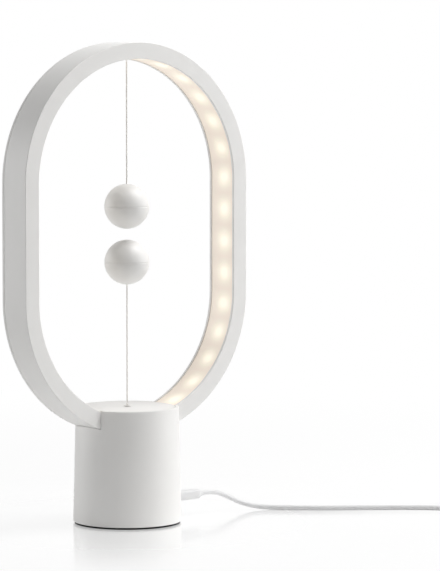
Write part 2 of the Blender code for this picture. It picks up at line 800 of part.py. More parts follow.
def build_saddle():
    """Plate on the columns, with a cradle that fits the underside of the ring."""
    radius = base_radius(SADDLE_TOP) - BASE_WALL - 2 * SEAT_GAP
    plate = cylinder("ring_saddle", radius, SADDLE_BOTTOM, SADDLE_TOP, material=WHITE_ABS, sides=40)
    ring_bottom = RING_CENTRE - RING_STRAIGHT / 2 - RING_END_RADIUS
    cradle_top = ring_bottom + RING_BAND / 2
    cradle = box(
        "cradle",
        (CRADLE_LENGTH, CRADLE_WIDTH, cradle_top - SADDLE_BOTTOM - SADDLE_THICKNESS / 2),
        (0.0, 0.0, (cradle_top + SADDLE_BOTTOM + SADDLE_THICKNESS / 2) / 2),
    )
    boolean(plate, cradle, "UNION")
    half = CRADLE_WIDTH
    boolean(plate, oval_prism("cradle_ring_cut", RING_END_RADIUS + SEAT_GAP, -half, half))
    holes = [(x, y) for x, y in column_places()]
    holes += [(0.0, side * CAP_POST_SPREAD) for side in (-1, 1)]
    holes += [(side * RING_SCREW_SPREAD, 0.0) for side in (-1, 1)]
    for place in holes:
        boolean(
            plate,
            cylinder(
                "saddle_hole",
                SCREW_SHANK_RADIUS + SEAT_GAP,
                SADDLE_BOTTOM - CUT_OVERRUN,
                cradle_top + CUT_OVERRUN,
                place,
                sides=12,
            ),
        )
    wire_hole = cylinder(
        "saddle_wire_hole",
        WIRE_HOLE_RADIUS,
        SADDLE_BOTTOM - CUT_OVERRUN,
        SADDLE_TOP + CUT_OVERRUN,
        (WIRE_HOLE_REACH, 0.0),
        sides=12,
    )
    boolean(plate, wire_hole)
    return boolean(plate, cord_drill("saddle_cord_hole", SADDLE_BOTTOM - CUT_OVERRUN, cradle_top + CUT_OVERRUN))


def screw(name, place, seat, points_up, length=SCREW_LENGTH, shank=SCREW_SHANK_RADIUS, head=SCREW_HEAD_RADIUS):
    """A pan-head screw whose head bears on a seat height."""
    sign = 1.0 if points_up else -1.0
    seat -= sign * SEAT_GAP
    profile = [
        (0.0, -SCREW_HEAD_HEIGHT),
        (head * SCREW_TOP_SHARE, -SCREW_HEAD_HEIGHT),
        (head, -SCREW_HEAD_HEIGHT / 2),
        (head, 0.0),
        (shank, 0.0),
        (shank, length - shank),
        (0.0, length),
    ]
    profile = [(radius, seat + sign * z) for radius, z in profile]
    if points_up:
        profile.reverse()
    made = turned(name, profile, STEEL, steps=10)
    made.location.x, made.location.y = place
    return made


def build_screws():
    """Every screw in the base."""
    plate_seat = SHELL_BOTTOM + SCREW_HEAD_HEIGHT + 2 * SEAT_GAP
    for i, place in enumerate(column_places()):
        screw(f"bottom_screw_{i + 1}", place, plate_seat, True)
    for i, place in enumerate(column_places()[::2]):
        screw(f"saddle_screw_{i + 1}", place, SADDLE_TOP, False)
    for end, side in (("front", -1), ("back", 1)):
        screw(f"cap_screw_{end}", (0.0, side * CAP_POST_SPREAD), SADDLE_BOTTOM, True)
    ring_length = RING_SCREW_LENGTH + BARREL_FLANGE[2]
    for end, side in (("left", -1), ("right", 1)):
        screw(f"ring_screw_{end}", (side * RING_SCREW_SPREAD, 0.0), BARREL_BORE_TOP, True, ring_length)
    board_length = BOARD_SCREW_LENGTH - 2 * SEAT_GAP
    for end, place in zip(("front", "back"), board_posts()):
        screw(f"board_screw_{end}", place, BOARD_TOP, False, board_length, BOARD_SCREW_SHANK, BOARD_SCREW_HEAD)


# Electronics

def build_circuit_board():
    """Board with its chip and capacitor."""
    centre_x = BOARD_START + BOARD_LENGTH / 2
    board = box(
        "circuit_board",
        (BOARD_LENGTH, BOARD_WIDTH, BOARD_THICKNESS),
        (centre_x, 0.0, (BOARD_TOP + BOARD_BOTTOM) / 2),
        BOARD_GREEN,
    )
    for place in board_posts():
        hole = cylinder(
            "board_hole",
            BOARD_SCREW_SHANK + SEAT_GAP,
            BOARD_BOTTOM - CUT_OVERRUN,
            BOARD_TOP + CUT_OVERRUN,
            place,
            sides=12,
        )
        boolean(board, hole)
    chip_foot = BOARD_TOP + SEAT_GAP
    box(
        "driver_chip",
        CHIP_SIZE,
        (BOARD_START + CHIP_PLACE[0], CHIP_PLACE[1], chip_foot + CHIP_SIZE[2] / 2),
        BLACK_PLASTIC,
    )
    rounding = CAPACITOR_RADIUS / 8
    top = chip_foot + CAPACITOR_HEIGHT
    capacitor = turned(
        "capacitor",
        [
            (0.0, top),
            (CAPACITOR_RADIUS - rounding, top),
            (CAPACITOR_RADIUS, top - rounding),
            (CAPACITOR_RADIUS, chip_foot + rounding),
            (CAPACITOR_RADIUS - rounding, chip_foot),
            (0.0, chip_foot),
        ],
        STEEL,
        steps=16,
    )
    capacitor.location.x = BOARD_START + CAPACITOR_PLACE[0]
    capacitor.location.y = CAPACITOR_PLACE[1]


SOCKET_MOUTH = base_radius(SOCKET_HEIGHT) - SOCKET_SETBACK


def build_usb_socket():
    """Folded metal shell of the socket, with its tongue inside."""
    start = SOCKET_MOUTH - SOCKET_DEPTH
    socket = box(
        "usb_socket",
        (SOCKET_DEPTH, SOCKET_WIDTH, SOCKET_TALL),
        (start + SOCKET_DEPTH / 2, 0.0, SOCKET_HEIGHT),
        NICKEL,
    )
    hollow = box(
        "socket_hollow_cut",
        (SOCKET_DEPTH, SOCKET_WIDTH - 2 * SOCKET_SHELL, SOCKET_TALL - 2 * SOCKET_SHELL),
        (start + SOCKET_DEPTH / 2 + SOCKET_BACK, 0.0, SOCKET_HEIGHT),
    )
    return boolean(socket, hollow)


# Pull switch

def build_switch_barrel():
    """Guide barrel with a flange under the saddle, a slot for the fin and cheeks for the switch."""
    barrel = cylinder(
        "switch_barrel",
        BARREL_RADIUS,
        BARREL_BOTTOM,
        BARREL_BORE_TOP + BARREL_FLANGE[2] / 2,
        material=WHITE_ABS,
    )
    flange = box("flange", BARREL_FLANGE, (0.0, 0.0, BARREL_TOP - BARREL_FLANGE[2] / 2))
    boolean(barrel, flange, "UNION")
    cheek_depth = SWITCH_START + SWITCH_BODY[1] - BARREL_BORE
    cheek_centre = SLIDER_TOP - SLIDER_LENGTH / 2 - SLIDER_TRAVEL / 2
    for side in (-1, 1):
        cheek = box(
            "cheek",
            (CHEEK_THICKNESS, cheek_depth, CHEEK_HEIGHT),
            (
                side * (SWITCH_BODY[0] / 2 + SEAT_GAP + CHEEK_THICKNESS / 2),
                BARREL_BORE + cheek_depth / 2,
                cheek_centre,
            ),
        )
        boolean(barrel, cheek, "UNION")
    bore = cylinder("barrel_bore", BARREL_BORE, BARREL_BOTTOM - CUT_OVERRUN, BARREL_BORE_TOP)
    boolean(barrel, bore)
    slot_height = FIN_HEIGHT + SLIDER_TRAVEL + 2 * SLIDER_CLEARANCE
    slot = box(
        "fin_slot",
        (FIN_THICKNESS + 2 * SLIDER_CLEARANCE, BARREL_RADIUS * 2, slot_height),
        (0.0, BARREL_RADIUS, cheek_centre),
    )
    boolean(barrel, slot)
    for side in (-1, 1):
        hole = cylinder(
            "flange_hole",
            SCREW_SHANK_RADIUS + SEAT_GAP,
            BARREL_BORE_TOP - CUT_OVERRUN,
            BARREL_TOP + CUT_OVERRUN,
            (side * RING_SCREW_SPREAD, 0.0),
            sides=12,
        )
        boolean(barrel, hole)
    return boolean(barrel, cord_drill("barrel_cord_hole", BARREL_BORE_TOP - CUT_OVERRUN, BARREL_TOP + CUT_OVERRUN))


def build_barrel_cap():
    """Plug that closes the barrel's lower end."""
    cap = cylinder(
        "switch_end_cap",
        BARREL_RADIUS,
        BARREL_BOTTOM - SEAT_GAP - BARREL_CAP_THICKNESS,
        BARREL_BOTTOM - SEAT_GAP,
        material=WHITE_ABS,
    )
    spigot = cylinder(
        "spigot",
        BARREL_BORE - SEAT_GAP,
        BARREL_BOTTOM - BARREL_CAP_THICKNESS,
        BARREL_BOTTOM + BARREL_CAP_THICKNESS,
    )
    return boolean(cap, spigot, "UNION")


def build_slider():
    """Piston that the lower cord lifts. Its forked fin works the slide switch."""
    radius = BARREL_BORE - SLIDER_CLEARANCE
    slider = cylinder("pull_slider", radius, SLIDER_TOP - SLIDER_LENGTH, SLIDER_TOP, material=WHITE_CABLE)
    fin_centre = SLIDER_TOP - SLIDER_LENGTH / 2
    fin = box(
        "fin",
        (FIN_THICKNESS, FIN_REACH - radius / 2, FIN_HEIGHT),
        (0.0, (FIN_REACH + radius / 2) / 2, fin_centre),
    )
    boolean(slider, fin, "UNION")
    fork = box(
        "fork_cut",
        (FIN_THICKNESS * 2, PEG_REACH - (SWITCH_START - FIN_REACH), PEG_SIZE + 2 * SEAT_GAP),
        (0.0, FIN_REACH - PEG_REACH / 2 + SEAT_GAP, fin_centre),
    )
    return boolean(slider, fork)


def build_slide_switch():
    """The switch body between the cheeks, and the peg that the fin carries up and down."""
    centre_z = SLIDER_TOP - SLIDER_LENGTH / 2 - SLIDER_TRAVEL / 2
    body = box(
        "slide_switch",
        SWITCH_BODY,
        (0.0, SWITCH_START + SWITCH_BODY[1] / 2, centre_z),
        NICKEL,
    )
    track = box(
        "peg_track_cut",
        (PEG_SIZE + 2 * SEAT_GAP, PEG_SIZE * 2, SLIDER_TRAVEL + PEG_SIZE + 2 * SEAT_GAP),
        (0.0, SWITCH_START, centre_z),
    )
    boolean(body, track)
    peg_start = SWITCH_START + PEG_SIZE - SEAT_GAP - PEG_REACH
    peg = box(
        "switch_peg",
        (PEG_SIZE, PEG_REACH, PEG_SIZE),
        (0.0, peg_start + PEG_REACH / 2, SLIDER_TOP - SLIDER_LENGTH / 2),
        BLACK_PLASTIC,
    )
    return peg


def tube(name, points, radius, material, resolution=1):
    """A round tube along points, with closed ends."""
    curve = bpy.data.curves.new(name, "CURVE")
    curve.dimensions = "3D"
    curve.bevel_depth = radius
    curve.bevel_resolution = resolution
    curve.use_fill_caps = True
    spline = curve.splines.new("POLY")
    spline.points.add(len(points) - 1)
    for target, point in zip(spline.points, points):
        target.co = (*point, 1.0)
    return new_object(name, curve, material=material)


def build_return_spring():
    """Coil spring above the slider, which pushes it back down."""
    gap = SEAT_GAP + SPRING_WIRE
    bottom, top = SLIDER_TOP + gap, BARREL_BORE_TOP - gap
    count = SPRING_TURNS * 10
    points = []
    for i in range(count + 1):
        share = i / count
        turn = 2 * math.pi * SPRING_TURNS * share
        height = bottom + (top - bottom) * share
        points.append((SPRING_RADIUS * math.cos(turn), SPRING_RADIUS * math.sin(turn), height))
    return tube("return_spring", points, SPRING_WIRE, STEEL)


def smooth_route(points, spacing):
    """Points at even steps along a Catmull-Rom curve through a route's own points."""
    knots = [Vector(p) for p in points]
    ends = [2 * knots[0] - knots[1], *knots, 2 * knots[-1] - knots[-2]]
    fine = []
    for a, b, c, d in zip(ends, ends[1:], ends[2:], ends[3:]):
        for i in range(24):
            t = i / 24
            turning = (2 * a - 5 * b + 4 * c - d) * t**2 + (3 * b - a - 3 * c + d) * t**3
            fine.append((2 * b + (c - a) * t + turning) / 2)
    fine.append(knots[-1])
    length = sum((q - p).length for p, q in zip(fine, fine[1:]))
    count = max(2, round(length / spacing))
    step = length / count
    route = [fine[0]]
    travelled = 0.0
    for p, q in zip(fine, fine[1:]):
        piece = (q - p).length
        while len(route) < count and travelled + piece >= step * len(route):
            route.append(p.lerp(q, (step * len(route) - travelled) / piece))
        travelled += piece
    route.append(fine[-1])
    return route


def build_leads():
    """Two-core leads from the board to the strip and to the switch."""
    board_x = BOARD_START + BOARD_LENGTH * LEAD_ALONG_SHARE
    start_z = BOARD_TOP + SEAT_GAP
    ring_bottom = RING_CENTRE - RING_STRAIGHT / 2 - RING_END_RADIUS
    to_strip = [
        (board_x, 0.0, start_z),
        (board_x, 0.0, start_z + BALLAST_HEIGHT / 2),
        (WIRE_HOLE_REACH, 0.0, (start_z + SADDLE_BOTTOM) / 2),
        (WIRE_HOLE_REACH, 0.0, SADDLE_BOTTOM),
        (WIRE_HOLE_REACH, 0.0, ring_bottom + RING_OUTER_WALL),
        (WIRE_HOLE_REACH + LEAD_RADIUS, 0.0, ring_bottom + RING_BAND / 2),
        (STRIP_END_REACH - RING_BAND / 4, 0.0, ring_bottom + RING_BAND * 3 / 4),
    ]
    tube("led_lead", smooth_route(to_strip, RING_BAND / 4), LEAD_RADIUS, WIRE_RED)
    centre_z = SLIDER_TOP - SLIDER_LENGTH / 2 - SLIDER_TRAVEL / 2
    switch_foot = centre_z - SWITCH_BODY[2] / 2 - SEAT_GAP
    switch_y = SWITCH_START + SWITCH_BODY[1] / 2
    to_switch = [
        (0.0, switch_y, switch_foot),
        (0.0, switch_y, switch_foot - RING_BAND / 4),
        (board_x, switch_y - LEAD_RADIUS, (switch_foot + start_z) / 2),
        (board_x + RING_BAND / 3, BOARD_WIDTH * LEAD_ACROSS_SHARE, start_z + RING_BAND / 3),
        (board_x + RING_BAND / 3, BOARD_WIDTH * LEAD_ACROSS_SHARE, start_z),
    ]
    tube("switch_lead", smooth_route(to_switch, RING_BAND / 4), LEAD_RADIUS, BLACK_PLASTIC)


# Balls, magnets and their cords

def ball_profile(radius, centre, steps):
    """Half a circle from the top pole to the bottom pole."""
    turns = [math.pi / 2 - math.pi * i / steps for i in range(steps + 1)]
    points = [(radius * math.cos(turn), centre + radius * math.sin(turn)) for turn in turns]
    points[0] = (0.0, centre + radius)
    points[-1] = (0.0, centre - radius)
    return points


def half_ball_profile(pierced):
    """Section of an upper half shell about its ball's centre, closed. A pierced one takes the cord."""
    seam = SEAT_GAP / 2
    hole = CORD_HOLE_RADIUS
    inner = BALL_RADIUS - BALL_WALL
    outer_start = math.acos(hole / BALL_RADIUS)
    relief = math.asin(SEAM_RELIEF / BALL_RADIUS)
    outer = []
    for i in range(BALL_ARC_STEPS + 1):
        turn = outer_start + (relief - outer_start) * i / BALL_ARC_STEPS
        outer.append((BALL_RADIUS * math.cos(turn), BALL_RADIUS * math.sin(turn)))
    rim = [(BALL_RADIUS - SEAM_RELIEF, seam), (inner, seam)]
    if pierced:
        inside_end = math.acos(hole / inner)
        arc = [inside_end * i / (BALL_ARC_STEPS // 2) for i in range(1, BALL_ARC_STEPS // 2 + 1)]
        inside = [(inner * math.cos(turn), inner * math.sin(turn)) for turn in arc]
        return outer + rim + inside
    pocket_in = MAGNET_RADIUS + SEAT_GAP
    pocket_out = pocket_in + POCKET_WALL
    pocket_floor = magnet_base() + MAGNET_THICKNESS + SEAT_GAP
    pocket_turn = math.acos(pocket_out / inner)
    arc = [pocket_turn * i / (BALL_ARC_STEPS // 2) for i in range(1, BALL_ARC_STEPS // 2 + 1)]
    inside = [(inner * math.cos(turn), inner * math.sin(turn)) for turn in arc]
    pocket = [(pocket_out, magnet_base()), (pocket_in, magnet_base())]
    pocket += [(pocket_in, pocket_floor), (0.0, pocket_floor)]
    outer[0] = (0.0, BALL_RADIUS)
    return outer + rim + inside + pocket


def magnet_base():
    """How far the magnet's inner face lies from its ball's centre."""
    return math.sqrt((BALL_RADIUS - BALL_WALL) ** 2 - MAGNET_RADIUS**2) - MAGNET_THICKNESS


def half_ball(name, centre, points_up, pierced):
    """One half of a ball, turned and set at its ball's height."""
    profile = half_ball_profile(pierced)
    if not points_up:
        profile = [(radius, -z) for radius, z in reversed(profile)]
    return turned(name, profile, WHITE_ABS, steps=BALL_STEPS, closed=pierced, height=centre, smooth_deg=40.0)


def build_ball(prefix, centre, cord_up):
    """Two half shells with a magnet on the side of the other ball and a knot on the cord's side."""
    half_ball(f"{prefix}_ball_top", centre, True, cord_up)
    half_ball(f"{prefix}_ball_bottom", centre, False, not cord_up)
    away = 1.0 if cord_up else -1.0
    near_face = centre - away * magnet_base()
    far_face = centre - away * (magnet_base() + MAGNET_THICKNESS)
    bottom, top = sorted((near_face, far_face))
    cylinder(f"{prefix}_magnet", MAGNET_RADIUS, bottom, top, material=NICKEL)
    knot_reach = math.sqrt((BALL_RADIUS - BALL_WALL) ** 2 - CORD_HOLE_RADIUS**2) - STOP_RADIUS
    turned(
        f"{prefix}_ball_knot",
        ball_profile(STOP_RADIUS, centre + away * knot_reach, 6),
        WHITE_CORD,
        steps=14,
    )


def build_cords():
    """Cords from pivot to ball, the small knots at the pivots, and the cord inside the base."""
    knot_gap = KNOT_RADIUS + SEAT_GAP
    ball_hole = math.sqrt((BALL_RADIUS - BALL_WALL) ** 2 - CORD_HOLE_RADIUS**2) + SEAT_GAP
    for prefix, pivot, ball, away in (
        ("upper", UPPER_PIVOT, UPPER_BALL_HEIGHT, 1.0),
        ("lower", LOWER_PIVOT, LOWER_BALL_HEIGHT, -1.0),
    ):
        turned(f"{prefix}_knot", ball_profile(KNOT_RADIUS, 0.0, 6), WHITE_CORD, steps=12, height=pivot)
        ends = [(0.0, 0.0, pivot - away * knot_gap), (0.0, 0.0, ball + away * ball_hole)]
        tube(f"{prefix}_cord", ends, CORD_RADIUS, WHITE_CORD, resolution=2)
    pull = [(0.0, 0.0, LOWER_PIVOT - knot_gap), (0.0, 0.0, SLIDER_TOP + SEAT_GAP)]
    tube("pull_cord", pull, CORD_RADIUS, WHITE_CORD, resolution=2)


# USB cable

PLUG_START = base_radius(SOCKET_HEIGHT) + PLUG_STANDOFF
PLUG_END = PLUG_START + PLUG_BODY_LENGTH
CABLE_START = PLUG_END + PLUG_RELIEF_LENGTH
FLOOR_RUN = CABLE_RADIUS + SEAT_GAP / 3


def rounded_bar(name, length, width, tall, start, height, round_edge, material, segments=3):
    """A bar along X with rounded long edges."""
    bm = bmesh.new()
    bmesh.ops.create_cube(bm, size=1.0)
    bmesh.ops.scale(bm, vec=(length, width, tall), verts=bm.verts)
    long_edges = [e for e in bm.edges if abs((e.verts[0].co - e.verts[1].co).x) > length / 2]
    bmesh.ops.bevel(bm, geom=long_edges, offset=round_edge, segments=segments, profile=0.5, affect="EDGES")
    made = mesh_object(name, bm, material)
    made.location = (start + length / 2, 0.0, height)
    return made


def build_micro_plug():
    """Moulded body with its tapered strain relief, and the metal tip inside the socket."""
    body = rounded_bar(
        "micro_plug_body",
        PLUG_BODY_LENGTH,
        PLUG_BODY_WIDTH,
        PLUG_BODY_TALL,
        PLUG_START,
        SOCKET_HEIGHT,
        PLUG_ROUND,
        WHITE_CABLE,
    )
    bm = bmesh.new()
    bmesh.ops.create_cone(
        bm,
        cap_ends=True,
        segments=20,
        radius1=RELIEF_ROOT_RADIUS,
        radius2=CABLE_RADIUS + SEAT_GAP,
        depth=PLUG_RELIEF_LENGTH * 2,
    )
    relief = mesh_object("relief", bm)
    relief.rotation_euler.y = math.radians(90.0)
    relief.location = (CABLE_START - PLUG_RELIEF_LENGTH - SEAT_GAP, 0.0, SOCKET_HEIGHT)
    boolean(body, relief, "UNION")
    tip_start = SOCKET_MOUTH - SOCKET_DEPTH + SOCKET_BACK + SEAT_GAP
    tip = rounded_bar(
        "micro_plug_tip",
        PLUG_START - SEAT_GAP - tip_start,
        PLUG_TIP_WIDTH,
        PLUG_TIP_TALL,
        tip_start,
        SOCKET_HEIGHT,
        PLUG_TIP_TALL / 4,
        NICKEL,
        segments=1,
    )
    return body, tip


def run_route():
    """Points of the free run, from the small plug to the coil, chosen along the photographed line."""
    arrive, heading = coil_start()
    back = arrive - heading * CABLE_RADIUS * 2
    return [
        (CABLE_START, 0.0, SOCKET_HEIGHT),
        (CABLE_START + RUN_STRAIGHT, 0.0, SOCKET_HEIGHT),
        (0.085, -0.0006, 0.0145),
        (0.0935, -0.0020, 0.0110),
        (0.102, -0.0045, 0.0068),
        (0.111, -0.0090, 0.0035),
        (0.119, -0.0150, FLOOR_RUN + SEAT_GAP),
        (0.127, -0.0225, FLOOR_RUN),
        (0.139, -0.0345, FLOOR_RUN),
        (0.156, -0.0490, FLOOR_RUN),
        (0.177, -0.0640, FLOOR_RUN),
        (0.198, -0.0800, FLOOR_RUN),
        (0.2135, -0.0940, FLOOR_RUN),
        tuple(back - heading * COIL_APPROACH),
        tuple(back),
        tuple(arrive - heading * SEAT_GAP),
    ]


def coil_points():
    """Centreline of the coil: it spirals in and out again, and climbs a layer where it turns back."""
    pitch = 2 * CABLE_RADIUS + COIL_CLEARANCE
    layer_turn = 2 * math.pi * COIL_TURNS_PER_LAYER
    outer = COIL_MEAN_RADIUS + pitch * COIL_TURNS_PER_LAYER / 2
    count = round(COIL_LAYERS * COIL_TURNS_PER_LAYER * COIL_POINTS_PER_TURN)
    start = math.radians(COIL_START_ANGLE_DEG)
    points = []
    for i in range(count + 1):
        travel = i / count * layer_turn * COIL_LAYERS
        layer = min(int(travel / layer_turn), COIL_LAYERS - 1)
        within = travel - layer * layer_turn
        inward = within if layer % 2 == 0 else layer_turn - within
        radius = outer - pitch * inward / (2 * math.pi)
        height = FLOOR_RUN + pitch * climbed(travel, layer_turn)
        angle = start + travel
        points.append(
            Vector(
                (COIL_CENTRE[0] + radius * math.cos(angle), COIL_CENTRE[1] + radius * math.sin(angle), height)
            )
        )
    return points


def climbed(travel, layer_turn):
    """Layers climbed so far. Each climb is a smooth half turn about the place where the spiral turns back."""
    total = 0.0
    for step in range(1, COIL_LAYERS):
        share = (travel - step * layer_turn + math.pi / 2) / math.pi
        share = min(1.0, max(0.0, share))
        total += share * share * (3 - 2 * share)
    return total


def coil_start():
    """First point of the coil and the level direction in which the cable enters it."""
    points = coil_points()
    heading = points[1] - points[0]
    heading.z = 0.0
    heading.normalize()
    return points[0] - heading * 2 * CABLE_RADIUS, heading


def coil_end():
    """Last point of the coil and the level direction in which the cable leaves it."""
    points = coil_points()
    heading = points[-1] - points[-2]
    heading.z = 0.0
    heading.normalize()
    return points[-1] + heading * 2 * CABLE_RADIUS, heading


def least_gap(points, radius):
    """Smallest air gap between stretches of a tube that are more than half a turn apart."""
    apart = COIL_POINTS_PER_TURN // 2
    best = min(
        (points[i] - points[j]).length for i in range(len(points)) for j in range(i + apart, len(points))
    )
    return best - 2 * radius


def tail_route():
    """Points from the coil's last turn, round a bend and down to the large plug on the table."""
    leave, heading = coil_end()
    inward = Vector((heading.y, -heading.x, 0.0))
    first = leave + heading * SEAT_GAP
    start = first + heading * 2 * CABLE_RADIUS
    drop = host_height() - first.z
    points = [first, start]
    for i in range(1, TAIL_STEPS + 1):
        share = i / TAIL_STEPS
        angle = math.radians(TAIL_TURN_DEG) * share
        point = start + (heading * math.sin(angle) + inward * (1 - math.cos(angle))) * TAIL_BEND_RADIUS
        point.z = first.z + drop * share * share * (3 - 2 * share)
        points.append(point)
    turned_by = math.radians(TAIL_TURN_DEG)
    onward = heading * math.cos(turned_by) + inward * math.sin(turned_by)
    points.append(points[-1] + onward * 2 * CABLE_RADIUS)
    return points


def host_height():
    """Height of the large plug's axis when it lies flat on the table."""
    return HOST_BODY[1] / 2 + SEAT_GAP / 3


def build_cable():
    """The free run, the coil and the tail that ends in the large plug."""
    spacing = 5 * CABLE_RADIUS
    run = smooth_route(run_route(), spacing)
    tube("cable_run", run, CABLE_RADIUS, WHITE_CABLE, resolution=2)
    points = coil_points()
    enter, _ = coil_start()
    leave, _ = coil_end()
    whole = [enter, *points, leave]
    tube("cable_coil", whole, CABLE_RADIUS, WHITE_CABLE, resolution=1)
    tail = smooth_route(tail_route(), spacing)
    tube("cable_tail", tail, CABLE_RADIUS, WHITE_CABLE, resolution=2)
    print(f"coil: least gap to itself {least_gap(points, CABLE_RADIUS) * 1000:.2f} mm")
    length = sum((q - p).length for part in (run, whole, tail) for p, q in zip(part, part[1:]))
    print(f"cable: {length:.3f} m")
    return tail


def build_host_plug(tail):
    """Large plug at the end of the tail: moulded body, relief and metal shell, lying flat."""
    end = tail[-1]
    heading = tail[-1] - tail[-2]
    heading.z = 0.0
    heading.normalize()
    turn = math.atan2(heading.y, heading.x)
    width, tall, length = HOST_BODY
    relief_start = SEAT_GAP
    body_start = relief_start + HOST_RELIEF_LENGTH
    body = rounded_bar("host_plug_body", length, width, tall, body_start, 0.0, HOST_ROUND, WHITE_CABLE)
    bm = bmesh.new()
    bmesh.ops.create_cone(
        bm,
        cap_ends=True,
        segments=20,
        radius1=CABLE_RADIUS + SEAT_GAP,
        radius2=RELIEF_ROOT_RADIUS,
        depth=HOST_RELIEF_LENGTH * 2,
    )
    relief = mesh_object("host_relief", bm)
    relief.rotation_euler.y = math.radians(90.0)
    relief.location = (relief_start + HOST_RELIEF_LENGTH, 0.0, 0.0)
    shell_start = body_start + length + SEAT_GAP
    shell_width, shell_tall, shell_length = HOST_SHELL
    shell = box(
        "host_plug_shell",
        (shell_length, shell_width, shell_tall),
        (shell_start + shell_length / 2, 0.0, 0.0),
        NICKEL,
    )
    hollow = box(
        "host_hollow_cut",
        (shell_length, shell_width - 2 * HOST_SHELL_WALL, shell_tall / 2 - HOST_SHELL_WALL),
        (
            shell_start + shell_length / 2 + SOCKET_BACK,
            0.0,
            shell_tall / 4 - HOST_SHELL_WALL / 2,
        ),
    )
    for piece in (body, relief, shell, hollow):
        place = Vector(piece.location)
        place.rotate(Vector((1.0, 0.0, 0.0)).rotation_difference(heading))
        piece.location = end + place
        piece.location.z = host_height() + place.z
        piece.rotation_euler.z = turn
    boolean(body, relief, "UNION")
    boolean(shell, hollow)


build_ring_housing()
build_back_cover()
build_diffuser()
build_led_strip()
build_base_shell()
build_top_cap()
build_eyelets()
build_bottom_plate()
build_foot_pad()
build_ballast()
build_saddle()
build_screws()
build_circuit_board()
build_usb_socket()
build_switch_barrel()
build_barrel_cap()
build_slider()
build_slide_switch()
build_return_spring()
build_leads()
build_ball("upper", UPPER_BALL_HEIGHT, True)
build_ball("lower", LOWER_BALL_HEIGHT, False)
build_cords()
build_micro_plug()
build_host_plug(build_cable())
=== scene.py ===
# %% [markdown]
# # A balance lamp, dressed piece by piece
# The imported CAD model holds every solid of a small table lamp: a lit oval ring on a round base,
# two magnetic balls on cords, and a USB cable. This notebook loads it as a fixed frame, lays finer
# surfaces over the pieces that show, and gives every piece a material. All lengths are metres.

# %% Load the frame
import json
import math
import bmesh
import bpy
import numpy as np
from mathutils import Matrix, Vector

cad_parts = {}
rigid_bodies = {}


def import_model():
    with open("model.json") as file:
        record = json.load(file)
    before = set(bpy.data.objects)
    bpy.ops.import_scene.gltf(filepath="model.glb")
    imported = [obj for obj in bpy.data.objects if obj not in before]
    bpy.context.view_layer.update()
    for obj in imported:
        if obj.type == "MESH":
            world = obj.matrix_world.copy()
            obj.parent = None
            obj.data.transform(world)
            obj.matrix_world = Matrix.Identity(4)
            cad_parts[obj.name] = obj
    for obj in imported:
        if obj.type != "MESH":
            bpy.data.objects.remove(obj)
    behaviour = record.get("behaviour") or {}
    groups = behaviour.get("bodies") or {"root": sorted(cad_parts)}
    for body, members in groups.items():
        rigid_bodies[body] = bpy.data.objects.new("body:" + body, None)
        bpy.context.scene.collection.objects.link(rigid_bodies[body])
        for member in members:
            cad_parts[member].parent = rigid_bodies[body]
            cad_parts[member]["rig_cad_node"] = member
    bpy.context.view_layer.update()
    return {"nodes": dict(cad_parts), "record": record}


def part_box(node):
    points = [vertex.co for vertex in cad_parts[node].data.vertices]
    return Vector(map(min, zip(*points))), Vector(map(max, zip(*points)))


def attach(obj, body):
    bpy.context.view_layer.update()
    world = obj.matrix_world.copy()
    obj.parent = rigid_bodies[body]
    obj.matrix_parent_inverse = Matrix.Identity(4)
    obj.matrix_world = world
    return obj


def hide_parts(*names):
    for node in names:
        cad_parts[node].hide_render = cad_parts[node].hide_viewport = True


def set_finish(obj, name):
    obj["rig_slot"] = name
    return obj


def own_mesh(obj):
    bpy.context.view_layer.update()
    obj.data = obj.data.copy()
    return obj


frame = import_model()

# %% [markdown]
# ## Camera
# A product photographer stands well back with a long lens, so that upright lines stay parallel.
# The lens could be guessed and the camera moved by eye. Here its place, direction and focal length
# come from the outlines of the ring and the base in the photograph, which fix all three.

# %% Camera
CAMERA_PLACE = (-1.45684, -1.91099, 0.35839)
CAMERA_LOOK = (0.62682272, 0.77544426, -0.07602294)
SENSOR_MM = 36.0
FOCAL_MM = 206.72
camera_data = bpy.data.cameras.new("studio_camera")
camera_data.sensor_width = SENSOR_MM
camera_data.lens = FOCAL_MM
camera = bpy.data.objects.new("studio_camera", camera_data)
bpy.context.scene.collection.objects.link(camera)
camera.location = CAMERA_PLACE
camera.rotation_mode = "QUATERNION"
camera.rotation_quaternion = Vector(CAMERA_LOOK).to_track_quat("-Z", "Y")
bpy.context.scene.camera = camera
bpy.context.scene.view_settings.view_transform = "Standard"
print("camera distance:", round(math.hypot(*CAMERA_PLACE), 3), "m")

# %% [markdown]
# ## From a grid of points to a piece
# Every new piece is a grid: rows run along it and columns across it. A grid that closes on itself
# is wrapped, and a row that shrinks to one point becomes a pole. The points are worked out for the
# whole grid at once with numpy and put into the mesh in one call, which is fast and leaves the
# formula in plain sight. Coinciding points are merged, and the faces are turned outwards.

# %% Grid to mesh
MERGE = 1e-7


def corners_of(rows, columns, wrap_rows, wrap_columns):
    """Index of the four corners of each cell. A wrapped direction goes back to index 0."""
    index = np.arange(rows * columns).reshape(rows, columns)
    if wrap_rows:
        index = np.vstack([index, index[:1]])
    if wrap_columns:
        index = np.hstack([index, index[:, :1]])
    cells = (index[:-1, :-1], index[:-1, 1:], index[1:, 1:], index[1:, :-1])
    return np.stack(cells, axis=-1).reshape(-1, 4)


